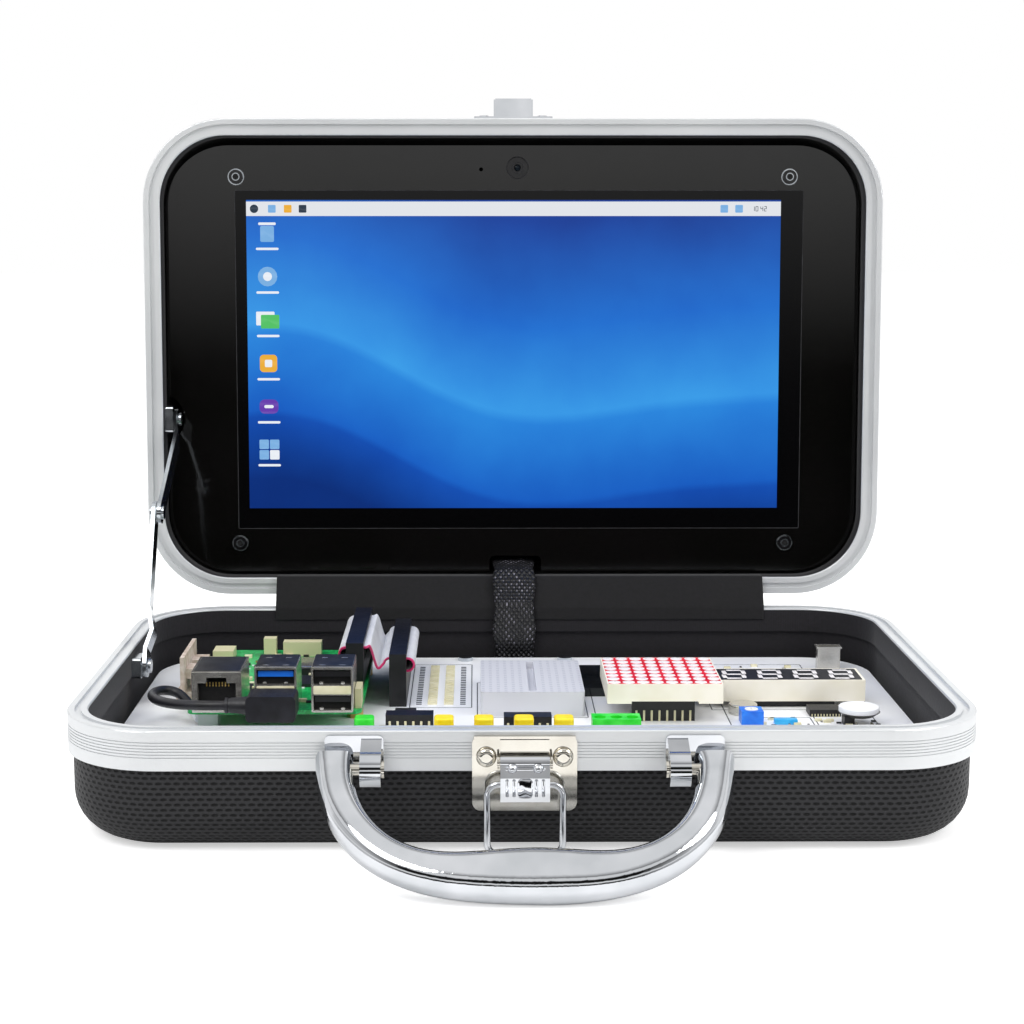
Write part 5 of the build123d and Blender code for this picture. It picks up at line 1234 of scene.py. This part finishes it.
class KIT_OT_cables(bpy.types.Operator):
    """Ribbon cable, braided screen lead and the short round lead"""

    bl_idname = "kit.cables"
    bl_label = "Cables"

    def execute(self, context):
        route = CABLE_ROUTE
        curve = bpy.data.curves.new("usb_lead", "CURVE")
        curve.dimensions = "3D"
        spline = curve.splines.new("NURBS")
        spline.points.add(len(route) - 1)
        flat = np.column_stack((np.array(route) / 1000, np.ones(len(route))))
        spline.points.foreach_set("co", flat.ravel())
        spline.order_u = 3
        spline.use_endpoint_u = True
        spline.resolution_u = 12
        curve.bevel_depth = 0.0016
        curve.bevel_resolution = 6
        curve.use_fill_caps = True
        curve.materials.append(MATERIALS["rubber"])
        lead = bpy.data.objects.new("usb_lead", curve)
        context.scene.collection.objects.link(lead)
        carry(lead, "base", "black_rubber", "usb_cable")
        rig.cord(
            lead,
            exit=tuple(c / 1000 for c in route[0]),
            length=0.0685,
            diameter=0.0032,
            far_end="object",
            stiffness="medium",
            lay="loose",
        )
        self.make_ribbon(context.scene.kit_sizes.ribbon_wires)
        self.make_harness()
        return {"FINISHED"}

    def make_ribbon(self, wires):
        """A strip along the fold path whose section is a row of round wires, the first one pink."""
        left, right, half = -54.3, -40.6, 2.9
        upper_a, lower_a, upper_b, lower_b = 42.6, 38.3, 35.8, 31.5
        fold = 2.15
        turn = np.radians(np.linspace(-90, 90, 13))
        loop_a = np.stack((left - half - 0.3 - fold * np.cos(turn), 40.45 + fold * np.sin(turn)), 1)
        loop_b = np.stack((right + half + 0.3 + fold * np.cos(-turn), 33.65 + fold * np.sin(-turn)), 1)
        between = catmull(
            [
                (left - half - 0.3, upper_a),
                (left + half + 0.6, upper_a),
                (left + half + 2.0, upper_a - 0.8),
                (left + half + 4.0, upper_b - 1.6),
                (right - half - 2.0, upper_b - 1.2),
                (right - half - 0.6, upper_b),
                (right + half + 0.3, upper_b),
            ],
            61,
        )
        path = np.concatenate(
            ([(left + half - 1.0, lower_a)], loop_a, between[1:-1], loop_b, [(right - half + 1.0, lower_b)])
        )
        ahead = np.gradient(path, axis=0)
        ahead /= np.linalg.norm(ahead, axis=1, keepdims=True)
        normal = np.stack((-ahead[:, 1], ahead[:, 0]), 1)
        share = np.clip((path[:, 0] - left - half - 0.6) / (right - left - 2 * half - 1.2), 0, 1)
        middle = 22.9 + 12.8 * share
        # Section: down one face from front to back and home along the other
        per = 6
        across = np.linspace(-0.5, 0.5, wires * per + 1)
        rib = 0.26 + 0.17 * np.abs(np.sin(np.linspace(0, wires * math.pi, wires * per + 1)))
        y = np.concatenate((across, across[::-1])) * 50.6
        z = np.concatenate((rib, -rib[::-1]))
        points = np.empty((len(path), len(y), 3))
        points[..., 0] = path[:, :1] + normal[:, :1] * z
        points[..., 1] = middle[:, None] + y
        points[..., 2] = path[:, 1:] + normal[:, 1:] * z
        count = len(y)
        faces = grid_faces(len(path), count, True)
        column = np.tile(np.arange(count), len(path) - 1)
        first = (column < per) | (column >= count - per - 1)
        caps = [list(range(count)), list(range((len(path) - 1) * count, len(path) * count))[::-1]]
        strip = (points.reshape(-1, 3), faces[:, ::-1].tolist() + caps)
        obj = build("ribbon_strip", [(strip, 0)], "ribbon pink", 60)
        index = np.concatenate((first.astype(np.int32), (0, 0))).astype(np.int32)
        obj.data.polygons.foreach_set("material_index", index)
        carry(obj, "base", "ribbon_grey", "ribbon_cable")

    def make_harness(self):
        """A flattened tube along the lead's route: its section is a superellipse."""

        def in_lid(up, out):
            point = HINGE + LID_UP * up + LID_OUT * out
            return (point[1], point[2])

        route = [
            in_lid(13.2, -14.2),
            in_lid(12.2, -8.0),
            in_lid(11.2, -3.0),
            in_lid(11.0, 0.5),
            in_lid(10.4, 3.2),
            (85.6, 48.6),
            (83.2, 44.2),
            (81.5, 41.0),
            (80.8, 38.6),
            (80.8, 27.0),
            (82.95, 21.0),
            (82.95, 14.6),
        ]
        line = catmull(route, 111)
        ahead = np.gradient(line, axis=0)
        step = np.linalg.norm(ahead, axis=1, keepdims=True)
        normal = np.stack((-ahead[:, 1], ahead[:, 0]), 1) / step
        length = np.concatenate(((0,), np.cumsum(np.linalg.norm(np.diff(line, axis=0), axis=1))))
        centre, half_width, half_thick = 0.3, 8.0, 0.95
        angle = np.linspace(0, 2 * math.pi, 73)[:-1]
        wide = half_width * np.sign(np.cos(angle)) * np.abs(np.cos(angle)) ** 0.55
        thick = half_thick * np.sign(np.sin(angle)) * np.abs(np.sin(angle)) ** 0.8
        # The sleeve swells and narrows a little along its length
        swell = 1 + 0.05 * np.sin(length * 0.35)[:, None]
        points = np.empty((len(line), len(angle), 3))
        points[..., 0] = centre + wide * swell * 0.96
        points[..., 1] = line[:, :1] + normal[:, :1] * thick
        points[..., 2] = line[:, 1:] + normal[:, 1:] * thick
        count = len(angle)
        faces = grid_faces(len(line), count, True).tolist()
        faces += [list(range(count))[::-1], list(range((len(line) - 1) * count, len(line) * count))]
        sleeve = (points.reshape(-1, 3), faces)
        obj = build("display_harness_sleeve", [(sleeve, 0)], "braid", 80)
        set_uv(obj, np.stack(np.meshgrid(wide, length), -1).reshape(-1, 2))
        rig.slot(obj, "braid")
        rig.replaces(obj, "display_harness")
        low = np.array((0, 81.5, 41.0)) / 1000
        high = np.array((0, *in_lid(11.0, 0.5))) / 1000
        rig.blend(obj, "base", "lid", start=low, end=high)


class KIT_OT_cover(bpy.types.Operator):
    """Black cloth strip over the hinge gap"""

    bl_idname = "kit.cover"
    bl_label = "Hinge cover"

    def execute(self, context):
        # From the base's inner wall, over both rims, to the lid's inner wall
        proud = 0.35
        wall, tuck, rim = 82.35, 34.0, HALF_HEIGHT + proud
        edge = LID_CENTRE - LID_UP * 82.7 + LID_OUT * proud
        tail = edge - LID_OUT * 4.0 + LID_UP * proud
        route = np.array([(wall, tuck), (wall, rim), (edge[1], edge[2] + proud), (tail[1], tail[2])])
        runs = np.linalg.norm(np.diff(route, axis=0), axis=1)
        at = np.concatenate(((0,), np.cumsum(runs)))
        t = np.linspace(0, at[-1], 45)
        y = np.interp(t, at, route[:, 0])
        z = np.interp(t, at, route[:, 1])
        x = np.linspace(-89.5, 94.5, 185)
        # A slight fullness between its glued edges, uneven along the strip
        free = np.clip((t - runs[0]) / runs[1], 0, 1)
        lift = 0.32 * np.sin(math.pi * free)[:, None] * (0.6 + 0.4 * np.sin(x * 0.09 + 1)[None])
        points = np.empty((len(t), len(x), 3))
        points[..., 0] = x
        points[..., 1] = y[:, None] - lift
        points[..., 2] = z[:, None] + lift * 0.5
        faces = grid_faces(len(t), len(x), False).tolist()
        obj = build("hinge_cover_cloth", [((points.reshape(-1, 3), faces), 0)], "cover", 80)
        set_uv(obj, np.stack(np.meshgrid(x, t), -1).reshape(-1, 2))
        thick = obj.modifiers.new("thickness", "SOLIDIFY")
        thick.thickness = 0.0005
        thick.offset = 0
        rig.slot(obj, "black_cloth")
        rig.replaces(obj, "hinge_cover")
        low, high = (0, wall / 1000, rim / 1000), (0, edge[1] / 1000, edge[2] / 1000)
        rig.blend(obj, "base", "lid", start=low, end=high)
        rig.sheet(obj, flat=(0.184, 0.021), held="stretched", rests_on=["base_frame", "lid_frame"])
        return {"FINISHED"}


OPERATORS = (
    KIT_OT_stage,
    KIT_OT_case,
    KIT_OT_hardware,
    KIT_OT_screen,
    KIT_OT_boards,
    KIT_OT_computer,
    KIT_OT_modules,
    KIT_OT_cables,
    KIT_OT_cover,
)


class KIT_PT_panel(bpy.types.Panel):
    bl_idname = "KIT_PT_panel"
    bl_label = "Electronics learning kit"
    bl_space_type = "VIEW_3D"
    bl_region_type = "UI"
    bl_category = "Kit"

    def draw(self, context):
        for group in (context.scene.kit_sizes, context.scene.kit_colours):
            for key in group.bl_rna.properties.keys():
                if key not in ("rna_type", "name"):
                    self.layout.prop(group, key)
        for operator in OPERATORS:
            self.layout.operator(operator.bl_idname)


CLASSES = (KitColours, KitSizes, *OPERATORS, KIT_PT_panel)


def register():
    for cls in CLASSES:
        bpy.utils.register_class(cls)
    bpy.types.Scene.kit_colours = bpy.props.PointerProperty(type=KitColours)
    bpy.types.Scene.kit_sizes = bpy.props.PointerProperty(type=KitSizes)


def unregister():
    del bpy.types.Scene.kit_colours
    del bpy.types.Scene.kit_sizes
    for cls in reversed(CLASSES):
        bpy.utils.unregister_class(cls)


def main():
    register()
    bpy.ops.kit.stage()
    bpy.ops.kit.case()
    bpy.ops.kit.hardware()
    bpy.ops.kit.screen()
    bpy.ops.kit.boards()
    bpy.ops.kit.computer()
    bpy.ops.kit.modules()
    bpy.ops.kit.cables()
    bpy.ops.kit.cover()
    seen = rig.bounds()
    with open("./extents.json", "w") as out:
        json.dump({"cad": [list(v) for v in cad_box], "visual": [list(v) for v in seen]}, out)


if __name__ == "__main__":
    main()
